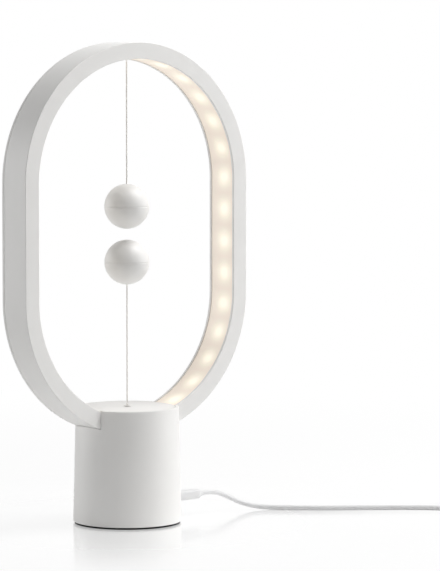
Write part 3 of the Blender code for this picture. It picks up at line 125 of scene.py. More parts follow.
def mesh_from(name, grid, wrap_rows, wrap_columns, uv=None):
    """A mesh of the grid's cells. uv has one more row or column than the grid where it is wrapped.
    A stack of grids, with one more axis in front, gives as many separate copies in the same mesh."""
    rows, columns = grid.shape[-3:-1]
    copies = np.arange(grid.size // (3 * rows * columns))[:, None, None]
    cells = corners_of(rows, columns, wrap_rows, wrap_columns)
    quads = (cells + copies * rows * columns).reshape(-1, 4)
    mesh = bpy.data.meshes.new(name)
    mesh.vertices.add(grid.size // 3)
    mesh.vertices.foreach_set("co", grid.astype(np.float32).ravel())
    mesh.loops.add(quads.size)
    mesh.loops.foreach_set("vertex_index", quads.astype(np.int32).ravel())
    mesh.polygons.add(len(quads))
    mesh.polygons.foreach_set("loop_start", np.arange(0, quads.size, 4, dtype=np.int32))
    mesh.update(calc_edges=True)
    if uv is not None:
        layer = mesh.uv_layers.new(name="along_and_across")
        order = corners_of(*uv.shape[:2], False, False)
        layer.data.foreach_set("uv", uv.reshape(-1, 2)[order].astype(np.float32).ravel())
    return mesh


def tidied(mesh, crease_degrees=40.0):
    """Merges coinciding points, turns the faces outwards, and shades it smooth except at creases."""
    bm = bmesh.new()
    bm.from_mesh(mesh)
    bmesh.ops.remove_doubles(bm, verts=bm.verts, dist=MERGE)
    bmesh.ops.dissolve_degenerate(bm, edges=bm.edges, dist=MERGE)
    bmesh.ops.recalc_face_normals(bm, faces=bm.faces)
    bm.to_mesh(mesh)
    bm.free()
    mesh.shade_smooth()
    mesh.set_sharp_from_angle(angle=math.radians(crease_degrees))
    return mesh


def piece(name, body, grid, wrap_rows=False, wrap_columns=False, uv=None, replaced=(), slot=None):
    """Links a grid as an object at the origin that rides on a body and stands for CAD nodes."""
    mesh = tidied(mesh_from(name, grid, wrap_rows, wrap_columns, uv))
    made = bpy.data.objects.new(name, mesh)
    bpy.context.scene.collection.objects.link(made)
    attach(made, body)
    if replaced:
        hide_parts(*replaced)
    if slot:
        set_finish(made, slot)
    print(f"{name}: {len(mesh.polygons)} faces")
    return made


# %% [markdown]
# ## Lines, tubes and turned shapes
# A cord is a tube carried along a line, and a ball or a base is a profile turned about an axis.
# Both are the same idea: one small outline, repeated at every station. Blender's curve and Screw
# tools could do it too, but a formula gives full control of the twist, the rounding and the UV map.

# %% Smooth lines
def unit(vectors):
    """The same directions with length one."""
    return vectors / np.maximum(np.linalg.norm(vectors, axis=-1, keepdims=True), 1e-12)


def travelled(line):
    """Distance from the line's start to each of its points."""
    steps = np.linalg.norm(np.diff(line, axis=0), axis=1)
    return np.concatenate([[0.0], np.cumsum(steps)])


def curve_through(points, per_span=24):
    """A smooth curve through all the points: each span is a cubic of its four nearest points."""
    points = np.asarray(points, dtype=float)
    ends = np.vstack([2 * points[0] - points[1], points, 2 * points[-1] - points[-2]])
    a, b, c, d = (ends[i : len(ends) - 3 + i, None, :] for i in range(4))
    t = np.linspace(0.0, 1.0, per_span, endpoint=False)[None, :, None]
    square = 2 * a - 5 * b + 4 * c - d
    cube = 3 * b - a - 3 * c + d
    spans = 0.5 * (2 * b + (c - a) * t + square * t**2 + cube * t**3)
    return np.vstack([spans.reshape(-1, 3), points[-1:]])


def even_steps(line, spacing):
    """The same line with points at even distances, read off by interpolation."""
    distance = travelled(line)
    count = max(2, round(distance[-1] / spacing))
    at = np.linspace(0.0, distance[-1], count + 1)
    return np.stack([np.interp(at, distance, line[:, k]) for k in range(3)], axis=-1)


# %% Outlines with softened corners
def softened(corners, radii, steps=5):
    """Each corner becomes a quadratic curve from one radius before it to one radius after it.
    One more point beyond each end of the curve keeps the flat sides flat when shaded smooth."""
    corners = np.asarray(corners, dtype=float)
    radii = np.asarray(radii, dtype=float)[:, None, None]
    to_last = unit(np.roll(corners, 1, axis=0) - corners)[:, None, :] * radii
    to_next = unit(np.roll(corners, -1, axis=0) - corners)[:, None, :] * radii
    s = np.linspace(0.0, 1.0, steps)[None, :, None]
    curve = corners[:, None, :] + (1 - s) ** 2 * to_last + s**2 * to_next
    hold_last = corners[:, None, :] + 1.5 * to_last
    hold_next = corners[:, None, :] + 1.5 * to_next
    return np.concatenate([hold_last, curve, hold_next], axis=1).reshape(-1, 2)


def with_stations(outline, spacing, closed=True):
    """Adds points along the long sides, so that no side is much longer than the spacing."""
    line = np.vstack([outline, outline[:1]]) if closed else outline
    distance = travelled(line)
    at = np.unique(np.concatenate([distance, np.arange(0.0, distance[-1], spacing)]))
    dense = np.stack([np.interp(at, distance, line[:, k]) for k in range(2)], axis=-1)
    return dense[:-1] if closed else dense


# %% Tubes and turned pieces
def tube_grid(line, radii, sides, reference=(0.0, 0.0, 1.0)):
    """Circles across a line: centre plus cosine times the side direction plus sine times the rise.
    radii is a number for each point, or for each point and side. Both ends close at a pole."""
    around = np.linspace(0.0, 2 * math.pi, sides, endpoint=False)
    ahead = unit(np.gradient(line, axis=0))
    side = unit(np.cross(ahead, np.asarray(reference)))
    rise = np.cross(side, ahead)
    radii = np.asarray(radii, dtype=float).reshape(len(line), -1)
    radii = np.broadcast_to(radii, (len(line), sides))
    across = side[:, None, :] * np.cos(around)[None, :, None]
    upwards = rise[:, None, :] * np.sin(around)[None, :, None]
    ring = across + upwards
    grid = line[:, None, :] + ring * radii[..., None]
    first = np.repeat(line[:1, None, :], sides, axis=1)
    last = np.repeat(line[-1:, None, :], sides, axis=1)
    return np.concatenate([first, grid, last])


def tube_uv(line, sides):
    """u is the distance along the line in millimetres, v goes once round from 0 to 1."""
    along = travelled(line) * 1000
    along = np.concatenate([along[:1], along, along[-1:]])
    u, v = np.meshgrid(along, np.linspace(0.0, 1.0, sides + 1), indexing="ij")
    return np.stack([u, v], axis=-1)


def turned_grid(profile, steps):
    """A profile of radius and height turned about the z axis: x = r cos, y = r sin, z = height."""
    around = np.linspace(0.0, 2 * math.pi, steps, endpoint=False)
    r, z = profile[:, :1], profile[:, 1:]
    flat = np.zeros_like(around)[None, :]
    return np.stack([r * np.cos(around), r * np.sin(around), z + flat], axis=-1)


# %% [markdown]
# ## The USB cable
# The photograph shows a thin white cable leave the plug, sink to the table and run off towards the
# right. The lamp's kind comes with about 1.5 m of it, so the rest is wound into a coil just outside
# the view, as it would be put away. A simulation could drop it, but this cable has to lie where its
# CAD solids lie, so its route repeats their points. It is one unbroken tube from plug to plug.

# %% Cable route
CABLE_RADIUS = 0.0018
CABLE_EXIT = (0.07017, 0.0, 0.0155)
FLOOR_RUN = 0.0019
COIL_CENTRE = (0.262, -0.102)
COIL_MIDDLE_RADIUS = 0.020
COIL_PITCH = 0.0041
COIL_LAYERS = 4
TURNS_PER_LAYER = 2.25
LAYER_TURN = 2 * math.pi * TURNS_PER_LAYER
COIL_START_ANGLE = math.radians(231.0)
POINTS_PER_TURN = 24
# Straight steps where the free run, the coil and the tail join.
JOIN_STEP = 2 * CABLE_RADIUS
COIL_APPROACH = 0.016
LAST_DROP = 0.0003


def coil_line(travel):
    """A flat spiral in, then out, a layer higher each time: the radius falls or grows by one pitch a
    turn, and the height climbs one pitch over the half turn where the spiral turns back."""
    layer = np.minimum((travel / LAYER_TURN).astype(int), COIL_LAYERS - 1)
    within = travel - layer * LAYER_TURN
    inward = np.where(layer % 2 == 0, within, LAYER_TURN - within)
    radius = COIL_MIDDLE_RADIUS + COIL_PITCH * (LAYER_TURN / 2 - inward) / (2 * math.pi)
    turns_back = LAYER_TURN * np.arange(1, COIL_LAYERS)
    share = np.clip((travel[:, None] - turns_back + math.pi / 2) / math.pi, 0.0, 1.0)
    height = FLOOR_RUN + COIL_PITCH * (share**2 * (3 - 2 * share)).sum(axis=1)
    angle = COIL_START_ANGLE + travel
    x = COIL_CENTRE[0] + radius * np.cos(angle)
    y = COIL_CENTRE[1] + radius * np.sin(angle)
    return np.stack([x, y, height], axis=-1)


def level_direction(start, end):
    """Direction from one point to the next, kept level."""
    return unit((end - start) * np.array([1.0, 1.0, 0.0]))


whole_turns = COIL_LAYERS * LAYER_TURN
coil_steps = round(whole_turns / (2 * math.pi) * POINTS_PER_TURN)
coil = coil_line(np.linspace(0.0, whole_turns, coil_steps + 1))
into_coil = level_direction(coil[0], coil[1])
out_of_coil = level_direction(coil[-2], coil[-1])
coil_entry = coil[0] - into_coil * JOIN_STEP
coil_leave = coil[-1] + out_of_coil * JOIN_STEP
before_coil = coil_entry - into_coil * JOIN_STEP
run_points = [
    CABLE_EXIT,
    (0.07617, 0.0, 0.0157),
    (0.085, -0.0006, 0.0145),
    (0.0935, -0.0020, 0.0110),
    (0.102, -0.0045, 0.0068),
    (0.111, -0.0090, 0.0035),
    (0.119, -0.0150, FLOOR_RUN + LAST_DROP),
    (0.127, -0.0225, FLOOR_RUN),
    (0.139, -0.0345, FLOOR_RUN),
    (0.156, -0.0490, FLOOR_RUN),
    (0.177, -0.0640, FLOOR_RUN),
    (0.198, -0.0800, FLOOR_RUN),
    (0.2135, -0.0940, FLOOR_RUN),
    before_coil - into_coil * COIL_APPROACH,
    before_coil,
    coil_entry,
]
print("coil:", len(coil), "points, top at", round(float(coil[:, 2].max()), 4), "m")

# %% Cable tail and tube
HOST_PLUG_HEIGHT = 0.00385
TAIL_BEND_RADIUS = 0.020
TAIL_TURN = math.radians(141.0)
TAIL_STEPS = 6
TAIL_GAP = 0.0003
CABLE_SIDES = 16
CABLE_STEP = 0.0016
tail_first = coil_leave + out_of_coil * TAIL_GAP
tail_start = tail_first + out_of_coil * JOIN_STEP
tail_inward = np.array([out_of_coil[1], -out_of_coil[0], 0.0])
share = np.linspace(0.0, 1.0, TAIL_STEPS + 1)[1:, None]
turn = TAIL_TURN * share
round_bend = out_of_coil * np.sin(turn) + tail_inward * (1 - np.cos(turn))
tail_bend = tail_start + TAIL_BEND_RADIUS * round_bend
tail_bend[:, 2:] = tail_first[2] + (HOST_PLUG_HEIGHT - tail_first[2]) * share**2 * (3 - 2 * share)
host_heading = out_of_coil * math.cos(turn[-1, 0]) + tail_inward * math.sin(turn[-1, 0])
tail_end = tail_bend[-1] + host_heading * JOIN_STEP
tail_points = np.vstack([tail_first, tail_start, tail_bend, tail_end])
cable_line = np.vstack([curve_through(run_points), coil, curve_through(tail_points)])
cable_line = even_steps(cable_line, CABLE_STEP)
usb_cable = piece(
    "usb_cable",
    "lamp",
    tube_grid(cable_line, np.full(len(cable_line), CABLE_RADIUS), CABLE_SIDES),
    wrap_columns=True,
    uv=tube_uv(cable_line, CABLE_SIDES),
    replaced=("cable_run", "cable_coil", "cable_tail"),
    slot="white_cable",
)

# %% [markdown]
# ## The two plugs
# A moulded plug is a soft block poured round the contacts: its section is a rectangle with full
# corners, and its end steps down to a short cone that saves the cable from kinking. A box with a
# Bevel would give straight sides. A superellipse at each station gives the soft, slightly pillowed
# section of the real moulding, and its exponent can fall to 2, a circle, where the cone begins.

# %% Plug bodies
def plug_grid(stations, sides=48):
    """Sections along x. Each is a superellipse: |y/a|^n + |z/b|^n = 1, drawn as
    y = a sign(cos) |cos|^(2/n) and z = b sign(sin) |sin|^(2/n). Both ends close at a pole."""
    x, a, b, n = (column[:, None] for column in np.asarray(stations, dtype=float).T)
    around = np.linspace(0.0, 2 * math.pi, sides, endpoint=False)[None, :]
    y = a * np.sign(np.cos(around)) * np.abs(np.cos(around)) ** (2 / n)
    z = b * np.sign(np.sin(around)) * np.abs(np.sin(around)) ** (2 / n)
    grid = np.stack([np.broadcast_to(x, y.shape), y, z], axis=-1)
    centre = np.stack([x[:, 0], 0 * x[:, 0], 0 * x[:, 0]], axis=-1)[:, None, :]
    first = np.repeat(centre[:1], sides, axis=1)
    last = np.repeat(centre[-1:], sides, axis=1)
    return np.concatenate([first, grid, last])


def placed(grid, place, heading):
    """The grid turned about the upright axis so that x points along the heading, then moved."""
    along = np.array([heading[0], heading[1], 0.0])
    across = np.array([-heading[1], heading[0], 0.0])
    up = np.array([0.0, 0.0, 1.0])
    return np.asarray(place) + grid[..., :1] * along + grid[..., 1:2] * across + grid[..., 2:] * up


PLUG_BACK = 0.04017
plug_stations = [
    (0.0000, 0.00465, 0.00300, 5.0),
    (0.0003, 0.00505, 0.00340, 5.0),
    (0.0009, 0.00522, 0.00357, 5.0),
    (0.0040, 0.00525, 0.00360, 5.0),
    (0.0140, 0.00525, 0.00360, 5.0),
    (0.0210, 0.00521, 0.00356, 5.0),
    (0.0240, 0.00508, 0.00348, 4.6),
    (0.0252, 0.00478, 0.00334, 4.0),
    (0.0257, 0.00436, 0.00316, 3.4),
    (0.0260, 0.00380, 0.00294, 2.8),
    (0.0261, 0.00320, 0.00270, 2.2),
    (0.0265, 0.00278, 0.00258, 2.0),
    (0.0280, 0.00252, 0.00244, 2.0),
    (0.0294, 0.00228, 0.00226, 2.0),
    (0.0298, 0.00214, 0.00212, 2.0),
    (0.0300, 0.00195, 0.00195, 2.0),
]
plug_body = piece(
    "plug_overmould",
    "lamp",
    placed(plug_grid(plug_stations), (PLUG_BACK, 0.0, CABLE_EXIT[2]), (1.0, 0.0)),
    wrap_columns=True,
    replaced=("micro_plug_body",),
    slot="white_cable",
)
host_stations = [
    (0.0003, 0.00195, 0.00195, 2.0),
    (0.0006, 0.00215, 0.00215, 2.0),
    (0.0040, 0.00255, 0.00245, 2.0),
    (0.0070, 0.00300, 0.00270, 2.2),
    (0.0073, 0.00480, 0.00320, 3.4),
    (0.0078, 0.00650, 0.00355, 4.6),
    (0.0090, 0.00740, 0.00370, 5.0),
    (0.0120, 0.00775, 0.00375, 5.5),
    (0.0240, 0.00775, 0.00375, 5.5),
    (0.0274, 0.00770, 0.00372, 5.5),
    (0.0281, 0.00745, 0.00350, 5.5),
    (0.0283, 0.00700, 0.00310, 5.5),
]
host_plug = piece(
    "host_plug_overmould",
    "lamp",
    placed(plug_grid(host_stations), tail_points[-1], host_heading),
    wrap_columns=True,
    replaced=("host_plug_body",),
    slot="white_cable",
)
cad_nodes = frame["nodes"]

# %% [markdown]
# ## The ball cords
# The upper ball hangs on a thin polyester cord of three twisted strands, and the lower one is held
# down by such a cord from the base. A smooth cylinder would look like wire. The strands show as
# three ridges that wind round once every few millimetres, so the radius is a wave round the cord
# whose start turns with the height.

# %% Twisted cords
CORD_RADIUS = 0.00055
CORD_PITCH = 0.0036
CORD_SIDES = 18
ROWS_PER_PITCH = 12
STRAND_RIDGE = 0.06


def twisted_cord(name, body, low, high, node):
    """Radius = full radius times (0.94 + 0.06 cos(3 angle - 2 pi height / pitch)): three strands."""
    rows = int((high - low) / (CORD_PITCH / ROWS_PER_PITCH)) + 1
    z = np.linspace(low, high, rows)
    line = np.stack([0 * z, 0 * z, z], axis=-1)
    around = np.linspace(0.0, 2 * math.pi, CORD_SIDES, endpoint=False)
    wave = np.cos(3 * around[None, :] - 2 * math.pi * z[:, None] / CORD_PITCH)
    radii = CORD_RADIUS * (1 - STRAND_RIDGE + STRAND_RIDGE * wave)
    grid = tube_grid(line, radii, CORD_SIDES, reference=(0.0, 1.0, 0.0))
    return piece(name, body, grid, False, True, tube_uv(line, CORD_SIDES), (node,), "white_cord")


UPPER_CORD = (0.24867, 0.33950)
LOWER_CORD = (0.08880, 0.17733)
upper_cord = twisted_cord("upper_twisted_cord", "upper_ball", *UPPER_CORD, "upper_cord")
lower_cord = twisted_cord("lower_twisted_cord", "lower_cord", *LOWER_CORD, "lower_cord")
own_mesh(lower_cord)

# %% [markdown]
# ## The knots
# A small knot sits where each cord leaves its bush, and turns with the cord. A knotted curve could
# be modelled, but the knot is less than 2 mm across. A ball whose surface winds in three lobes
# gives such a lumpy outline with fewer than a thousand faces.

# %% Knots
KNOT_RADIUS = 0.00085
LOBE_HEIGHT = 0.1
KNOT_ROWS, KNOT_SIDES = 25, 36
UPPER_PIVOT, LOWER_PIVOT = 0.34065, 0.08765


def knot(name, body, height, node):
    """A ball with three winding lobes: its radius is
    R (0.9 + 0.1 cos(3 angle + 5 polar angle) sin(polar angle))."""
    polar = np.linspace(0.0, math.pi, KNOT_ROWS)[:, None]
    around = np.linspace(0.0, 2 * math.pi, KNOT_SIDES, endpoint=False)[None, :]
    lobes = LOBE_HEIGHT * np.cos(3 * around + 5 * polar) * np.sin(polar)
    radius = KNOT_RADIUS * (1 - LOBE_HEIGHT + lobes)
    x = radius * np.sin(polar) * np.cos(around)
    y = radius * np.sin(polar) * np.sin(around)
    z = height + radius * np.cos(polar)
    grid = np.stack([x, y, z], axis=-1)
    return piece(name, body, grid, False, True, None, (node,), "white_cord")


knot("upper_eyelet_knot", "upper_knot", UPPER_PIVOT, "upper_knot")
knot("lower_eyelet_knot", "lower_knot", LOWER_PIVOT, "lower_knot")

# %% [markdown]
# ## The ring
# The ring is a housing with a front face and an outer wall, and a back cover that closes it with a
# hairline seam. The real pieces are injection moulded with edges rounded by a few tenths of a
# millimetre. One L-shaped outline, carried round the oval, makes the housing with its soft edges.

# %% Oval stations
ARC_LOW, ARC_HIGH = 0.168, 0.252
RING_OUTER = 0.1015
RING_INNER = 0.0895
RING_HALF_DEPTH = 0.0145
LED_PITCH = 0.024
LED_PHASE = -0.005
QUARTER_STEPS = 48
LIMB_STEPS = 24
quarter = math.pi / 2
turns = np.concatenate(
    [
        np.linspace(-quarter, 0.0, QUARTER_STEPS, endpoint=False),
        np.zeros(LIMB_STEPS),
        np.linspace(0.0, 2 * quarter, 2 * QUARTER_STEPS, endpoint=False),
        np.full(LIMB_STEPS, 2 * quarter),
        np.linspace(2 * quarter, 3 * quarter, QUARTER_STEPS, endpoint=False),
    ]
)
climb = np.linspace(ARC_LOW, ARC_HIGH, LIMB_STEPS, endpoint=False)
centres = np.concatenate(
    [
        np.full(QUARTER_STEPS, ARC_LOW),
        climb,
        np.full(2 * QUARTER_STEPS, ARC_HIGH),
        ARC_HIGH + ARC_LOW - climb,
        np.full(QUARTER_STEPS, ARC_LOW),
    ]
)


def oval_grid(outline):
    """The outline's radius and depth at each station: x = r cos, y = depth, z = centre + r sin."""
    r, depth = outline[None, :, 0], outline[None, :, 1]
    turn, centre = turns[:, None], centres[:, None]
    return np.stack([r * np.cos(turn), depth + 0 * turn, centre + r * np.sin(turn)], axis=-1)


print("oval:", len(turns), "stations")

# %% Ring housing and cover
EDGE = 0.0004
INNER_EDGE = EDGE / 2
OUTER_WALL = 0.002
WALL_END = 0.0120
FACE_INSIDE = 0.0123
RING_STEP = 0.004
housing_corners = [
    (RING_INNER, -RING_HALF_DEPTH),
    (RING_OUTER, -RING_HALF_DEPTH),
    (RING_OUTER, WALL_END),
    (RING_OUTER - OUTER_WALL, WALL_END),
    (RING_OUTER - OUTER_WALL, -FACE_INSIDE),
    (RING_INNER, -FACE_INSIDE),
]
housing_outline = softened(housing_corners, [EDGE] * 2 + [INNER_EDGE] * 4)
piece(
    "ring_front_housing",
    "lamp",
    oval_grid(with_stations(housing_outline, RING_STEP)),
    wrap_rows=True,
    wrap_columns=True,
    replaced=("ring_housing",),
    slot="white_abs",
)
cover_corners = [
    (RING_INNER, FACE_INSIDE),
    (RING_OUTER, FACE_INSIDE),
    (RING_OUTER, RING_HALF_DEPTH),
    (RING_INNER, RING_HALF_DEPTH),
]
cover_outline = softened(cover_corners, [INNER_EDGE] * 2 + [EDGE] * 2)
piece(
    "ring_rear_cover",
    "lamp",
    oval_grid(with_stations(cover_outline, RING_STEP)),
    wrap_rows=True,
    wrap_columns=True,
    replaced=("ring_back_cover",),
    slot="white_abs",
)

# %% [markdown]
# ## The lit diffuser
# The inner face is a band of opal plastic with a tape of LEDs behind it, glued inside the outer
# wall. The LEDs are 24 mm apart on the tape, which lies 9 mm further out, so that on the bends
# their spots come about 22 mm apart on the band, as the photograph shows. Small lamps behind a
# real sheet would make a noisy picture. The glow is simpler and cleaner as an emission pattern, so
# the band's UV map counts LEDs along the tape and runs 0 to 1 across.

# %% Diffuser
BAND_FACE, BAND_BACK, BAND_HALF_WIDTH = 0.0900, 0.0917, 0.0122
BAND_EDGE = 0.0003
BAND_STEP = 0.003
BAND_UV_WIDTH = 0.024
diffuser_corners = [
    (BAND_FACE, -BAND_HALF_WIDTH),
    (BAND_BACK, -BAND_HALF_WIDTH),
    (BAND_BACK, BAND_HALF_WIDTH),
    (BAND_FACE, BAND_HALF_WIDTH),
]
diffuser_outline = with_stations(softened(diffuser_corners, [BAND_EDGE] * 4), BAND_STEP)
half_limb = (ARC_HIGH - ARC_LOW) / 2
TAPE_RADIUS = 0.0987
along_arc = TAPE_RADIUS * np.append(turns, 3 * quarter)
along_limb = np.append(centres - ARC_LOW, 0.0)
past_top = np.append(turns, 3 * quarter) > quarter
along_limb = np.where(past_top, 4 * half_limb - along_limb, along_limb)
along = along_arc + along_limb - half_limb
led_count = (along - LED_PHASE) / LED_PITCH
across = np.append(diffuser_outline[:, 1], diffuser_outline[0, 1]) / BAND_UV_WIDTH + 0.5
diffuser_uv = np.stack(np.meshgrid(led_count, across, indexing="ij"), axis=-1)
piece(
    "opal_diffuser_strip",
    "lamp",
    oval_grid(diffuser_outline),
    wrap_rows=True,
    wrap_columns=True,
    uv=diffuser_uv,
    replaced=("ring_diffuser",),
    slot="opal_diffuser",
)
print("LEDs round the ring:", round(float(led_count[-1] - led_count[0]), 1))

# %% [markdown]
# ## The LED tape
# Behind the band runs a thin white tape, open at the bottom of the ring, with a small chip on it
# for each bright spot. The chips could be made one by one and joined. Here the same small block is
# worked out for all LED numbers at once, and they share a single mesh.

# %% LED tape
TAPE_HALF_WIDTH = 0.005
TAPE_BACK = 0.0992
TAPE_OPENING = 0.031
TAPE_END = math.asin(TAPE_OPENING / TAPE_BACK)
TAPE_EDGE = 0.0001
SMALL_CORNER_STEPS = 3
tape_corners = [
    (TAPE_RADIUS, -TAPE_HALF_WIDTH),
    (TAPE_BACK, -TAPE_HALF_WIDTH),
    (TAPE_BACK, TAPE_HALF_WIDTH),
    (TAPE_RADIUS, TAPE_HALF_WIDTH),
]
tape_grid = oval_grid(softened(tape_corners, [TAPE_EDGE] * 4, SMALL_CORNER_STEPS))
tape_grid = tape_grid[(turns > TAPE_END - quarter) & (turns < 3 * quarter - TAPE_END)]
tape_ends = tape_grid[[0, -1]].mean(axis=1, keepdims=True)
tape_ends = np.broadcast_to(tape_ends, (2, *tape_grid.shape[1:]))
piece(
    "led_tape",
    "lamp",
    np.concatenate([tape_ends[:1], tape_grid, tape_ends[1:]]),
    wrap_columns=True,
    replaced=("led_strip",),
    slot="strip_white",
)

# %% LED chips
CHIP_LENGTH, CHIP_WIDTH, CHIP_HEIGHT = 0.0035, 0.0028, 0.0009
# Shares of the block: its corners' rounding, its narrower top and the foot of that slope.
CHIP_ROUND, CHIP_TOP, CHIP_SHOULDER = 0.06, 0.94, 0.95
# The least share of a pitch between an end of the tape and a chip.
CHIP_MARGIN = 0.15


def chip_grids(numbers):
    """A small block on the tape for each LED number. Its place comes from the tape's own length, its
    height runs inwards along (cos turn, sin turn), and its length along (-sin turn, cos turn)."""
    turn = np.interp(numbers, led_count, np.append(turns, 3 * quarter))[:, None, None]
    centre = np.interp(numbers, led_count, np.append(centres, ARC_LOW))[:, None, None]
    square = [(-0.5, -0.5), (0.5, -0.5), (0.5, 0.5), (-0.5, 0.5)]
    block = softened(square, [CHIP_ROUND] * 4, SMALL_CORNER_STEPS)
    widen = np.array([0.0, 1.0, 1.0, CHIP_TOP, 0.0])[:, None]
    raised = np.array([0.0, 0.0, CHIP_SHOULDER, 1.0, 1.0])[:, None]
    along_tape = CHIP_LENGTH * block[:, 0] * widen
    across_tape = CHIP_WIDTH * block[:, 1] * widen
    radius = TAPE_RADIUS - CHIP_HEIGHT * raised
    x = radius * np.cos(turn) - along_tape * np.sin(turn)
    z = centre + radius * np.sin(turn) + along_tape * np.cos(turn)
    return np.stack([x, across_tape + 0 * turn, z], axis=-1)


lit_from = led_count[np.searchsorted(turns, TAPE_END - quarter)]
lit_to = led_count[np.searchsorted(turns, 3 * quarter - TAPE_END)]
chip_numbers = np.arange(math.ceil(lit_from + CHIP_MARGIN), math.floor(lit_to - CHIP_MARGIN) + 1)
piece(
    "led_chips",
    "lamp",
    chip_grids(chip_numbers),
    wrap_columns=True,
    slot="strip_white",
)
print("chips on the tape:", len(chip_numbers))

# %% [markdown]
# ## The base
# The base is a slightly tapered tube with a flat top, notched so that the ring sinks into it. The
# tube is a turned outline. The notch could be modelled by hand along the ring's arc, but the real
# mould's cut is exactly a disc the width of the ring, so a Boolean with such a disc gives the true
# edge, and the cutter is deleted when its work is done.

# %% Base shell
FOOT_RADIUS, TOP_RADIUS, BASE_WALL = 0.040, 0.038, 0.0025
SHELL_BOTTOM, BASE_HEIGHT = 0.0015, 0.086
FOOT_EDGE, RIM_EDGE, INSIDE_EDGE = 0.0004, 0.0005, 0.0003
SHELL_STEP = 0.004
BASE_SIDES = 192
shell_corners = [
    (FOOT_RADIUS, SHELL_BOTTOM),
    (TOP_RADIUS, BASE_HEIGHT),
    (TOP_RADIUS - BASE_WALL, BASE_HEIGHT),
    (FOOT_RADIUS - BASE_WALL, SHELL_BOTTOM),
]
shell_edges = [FOOT_EDGE, RIM_EDGE, INSIDE_EDGE, INSIDE_EDGE]
shell_outline = with_stations(softened(shell_corners, shell_edges), SHELL_STEP)
base_shell = piece(
    "base_outer_shell",
    "lamp",
    turned_grid(shell_outline, BASE_SIDES),
    wrap_rows=True,
    wrap_columns=True,
    replaced=("base_shell",),
    slot="white_abs",
)
NOTCH_RADIUS, NOTCH_HALF_WIDTH, NOTCH_SIDES = 0.1018, 0.0148, 384
SHELL_CREASE = math.radians(30.0)
notch_profile = [(0.0, -1.0), (NOTCH_RADIUS, -1.0), (NOTCH_RADIUS, 1.0), (0.0, 1.0)]
notch_profile = np.array(notch_profile) * np.array([1.0, NOTCH_HALF_WIDTH])
notch = turned_grid(notch_profile, NOTCH_SIDES)[..., [0, 2, 1]] + np.array([0.0, 0.0, ARC_LOW])
cutter_mesh = tidied(mesh_from("notch_cutter", notch, False, True))
cutter = bpy.data.objects.new("notch_cutter", cutter_mesh)
bpy.context.scene.collection.objects.link(cutter)
cut = base_shell.modifiers.new("notch", "BOOLEAN")
cut.operation = "DIFFERENCE"
cut.solver = "EXACT"
cut.object = cutter
bpy.context.view_layer.update()
after_cut = base_shell.evaluated_get(bpy.context.evaluated_depsgraph_get())
notched = bpy.data.meshes.new_from_object(after_cut)
base_shell.modifiers.clear()
base_shell.data = notched
bpy.data.objects.remove(cutter)
notched.shade_smooth()
notched.set_sharp_from_angle(angle=SHELL_CREASE)
print("notched shell:", len(notched.polygons), "faces")

# %% [markdown]
# ## The foot pad and the cord's bushes
# A black foam disc under the base keeps the lamp from sliding and shows as a thin dark line. Where
# a cord passes through plastic, a small flanged bush lines the hole. Both are round, so a cylinder
# with a Bevel would do too. A turned outline rounds each corner by its own radius.

# %% Foot pad and eyelets
PAD_RADIUS, PAD_THICKNESS, PAD_EDGE, PAD_STEP = 0.039, 0.0012, 0.0002, 0.006
pad_corners = [(0.0, 0.0), (PAD_RADIUS, 0.0), (PAD_RADIUS, PAD_THICKNESS), (0.0, PAD_THICKNESS)]
pad_outline = softened(pad_corners, [0.0, PAD_EDGE, PAD_EDGE, 0.0])
piece(
    "rubber_foot_pad",
    "lamp",
    turned_grid(with_stations(pad_outline, PAD_STEP, closed=False), BASE_SIDES),
    wrap_columns=True,
    replaced=("foot_pad",),
    slot="black_rubber",
)


BUSH_BORE, BUSH_HUB, BUSH_FLANGE, BUSH_SIDES = 0.0015, 0.0020, 0.0026, 64
HUB_EDGE, FLANGE_EDGE, SEAT_EDGE = 0.0001, 0.0002, 0.00008
BASE_FLANGE_LOW, TOP_FLANGE_HIGH = 0.0863, 0.3418


def eyelet(name, node, hub_low, hub_high, flange_low, flange_high):
    """A bush: a thin hub with a flange at one end, softened and turned about the cord's axis."""
    bore, hub, flange = BUSH_BORE, BUSH_HUB, BUSH_FLANGE
    if flange_high >= hub_high:
        corners = [(bore, hub_low), (hub, hub_low), (hub, flange_low), (flange, flange_low)]
        corners += [(flange, flange_high), (bore, flange_high)]
        radii = [HUB_EDGE, HUB_EDGE, 0.0, SEAT_EDGE, FLANGE_EDGE, FLANGE_EDGE]
    else:
        corners = [(bore, flange_low), (flange, flange_low), (flange, flange_high)]
        corners += [(hub, flange_high), (hub, hub_high), (bore, hub_high)]
        radii = [FLANGE_EDGE, FLANGE_EDGE, SEAT_EDGE, 0.0, HUB_EDGE, HUB_EDGE]
    grid = turned_grid(softened(corners, radii), BUSH_SIDES)
    return piece(name, "lamp", grid, True, True, None, (node,), "white_abs")


base_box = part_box("base_eyelet")
top_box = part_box("top_eyelet")
base_low, base_high = base_box[0][2], base_box[1][2]
top_low, top_high = top_box[0][2], top_box[1][2]
eyelet("base_cord_bush", "base_eyelet", base_low, base_high, BASE_FLANGE_LOW, base_high)
eyelet("top_cord_bush", "top_eyelet", top_low, top_high, top_low, TOP_FLANGE_HIGH)

# %% [markdown]
# ## The balls
# Each ball is two moulded half shells glued at the equator, with a fine groove at the joint and a
# magnet inside. A UV sphere would lose the groove and the cord's hole. The outline below goes from
# the hole over the outside to the joint, and back along the inside, and is turned once.

# %% Ball halves
BALL_RADIUS = 0.0165
BALL_WALL = 0.0016
CORD_HOLE = 0.0010
JOINT_HALF_GAP = 0.00002
GROOVE = 0.00016
GROOVE_SHOULDER = 0.4 * GROOVE
OUTSIDE_STEPS, INSIDE_STEPS, BALL_SIDES = 48, 32, 128


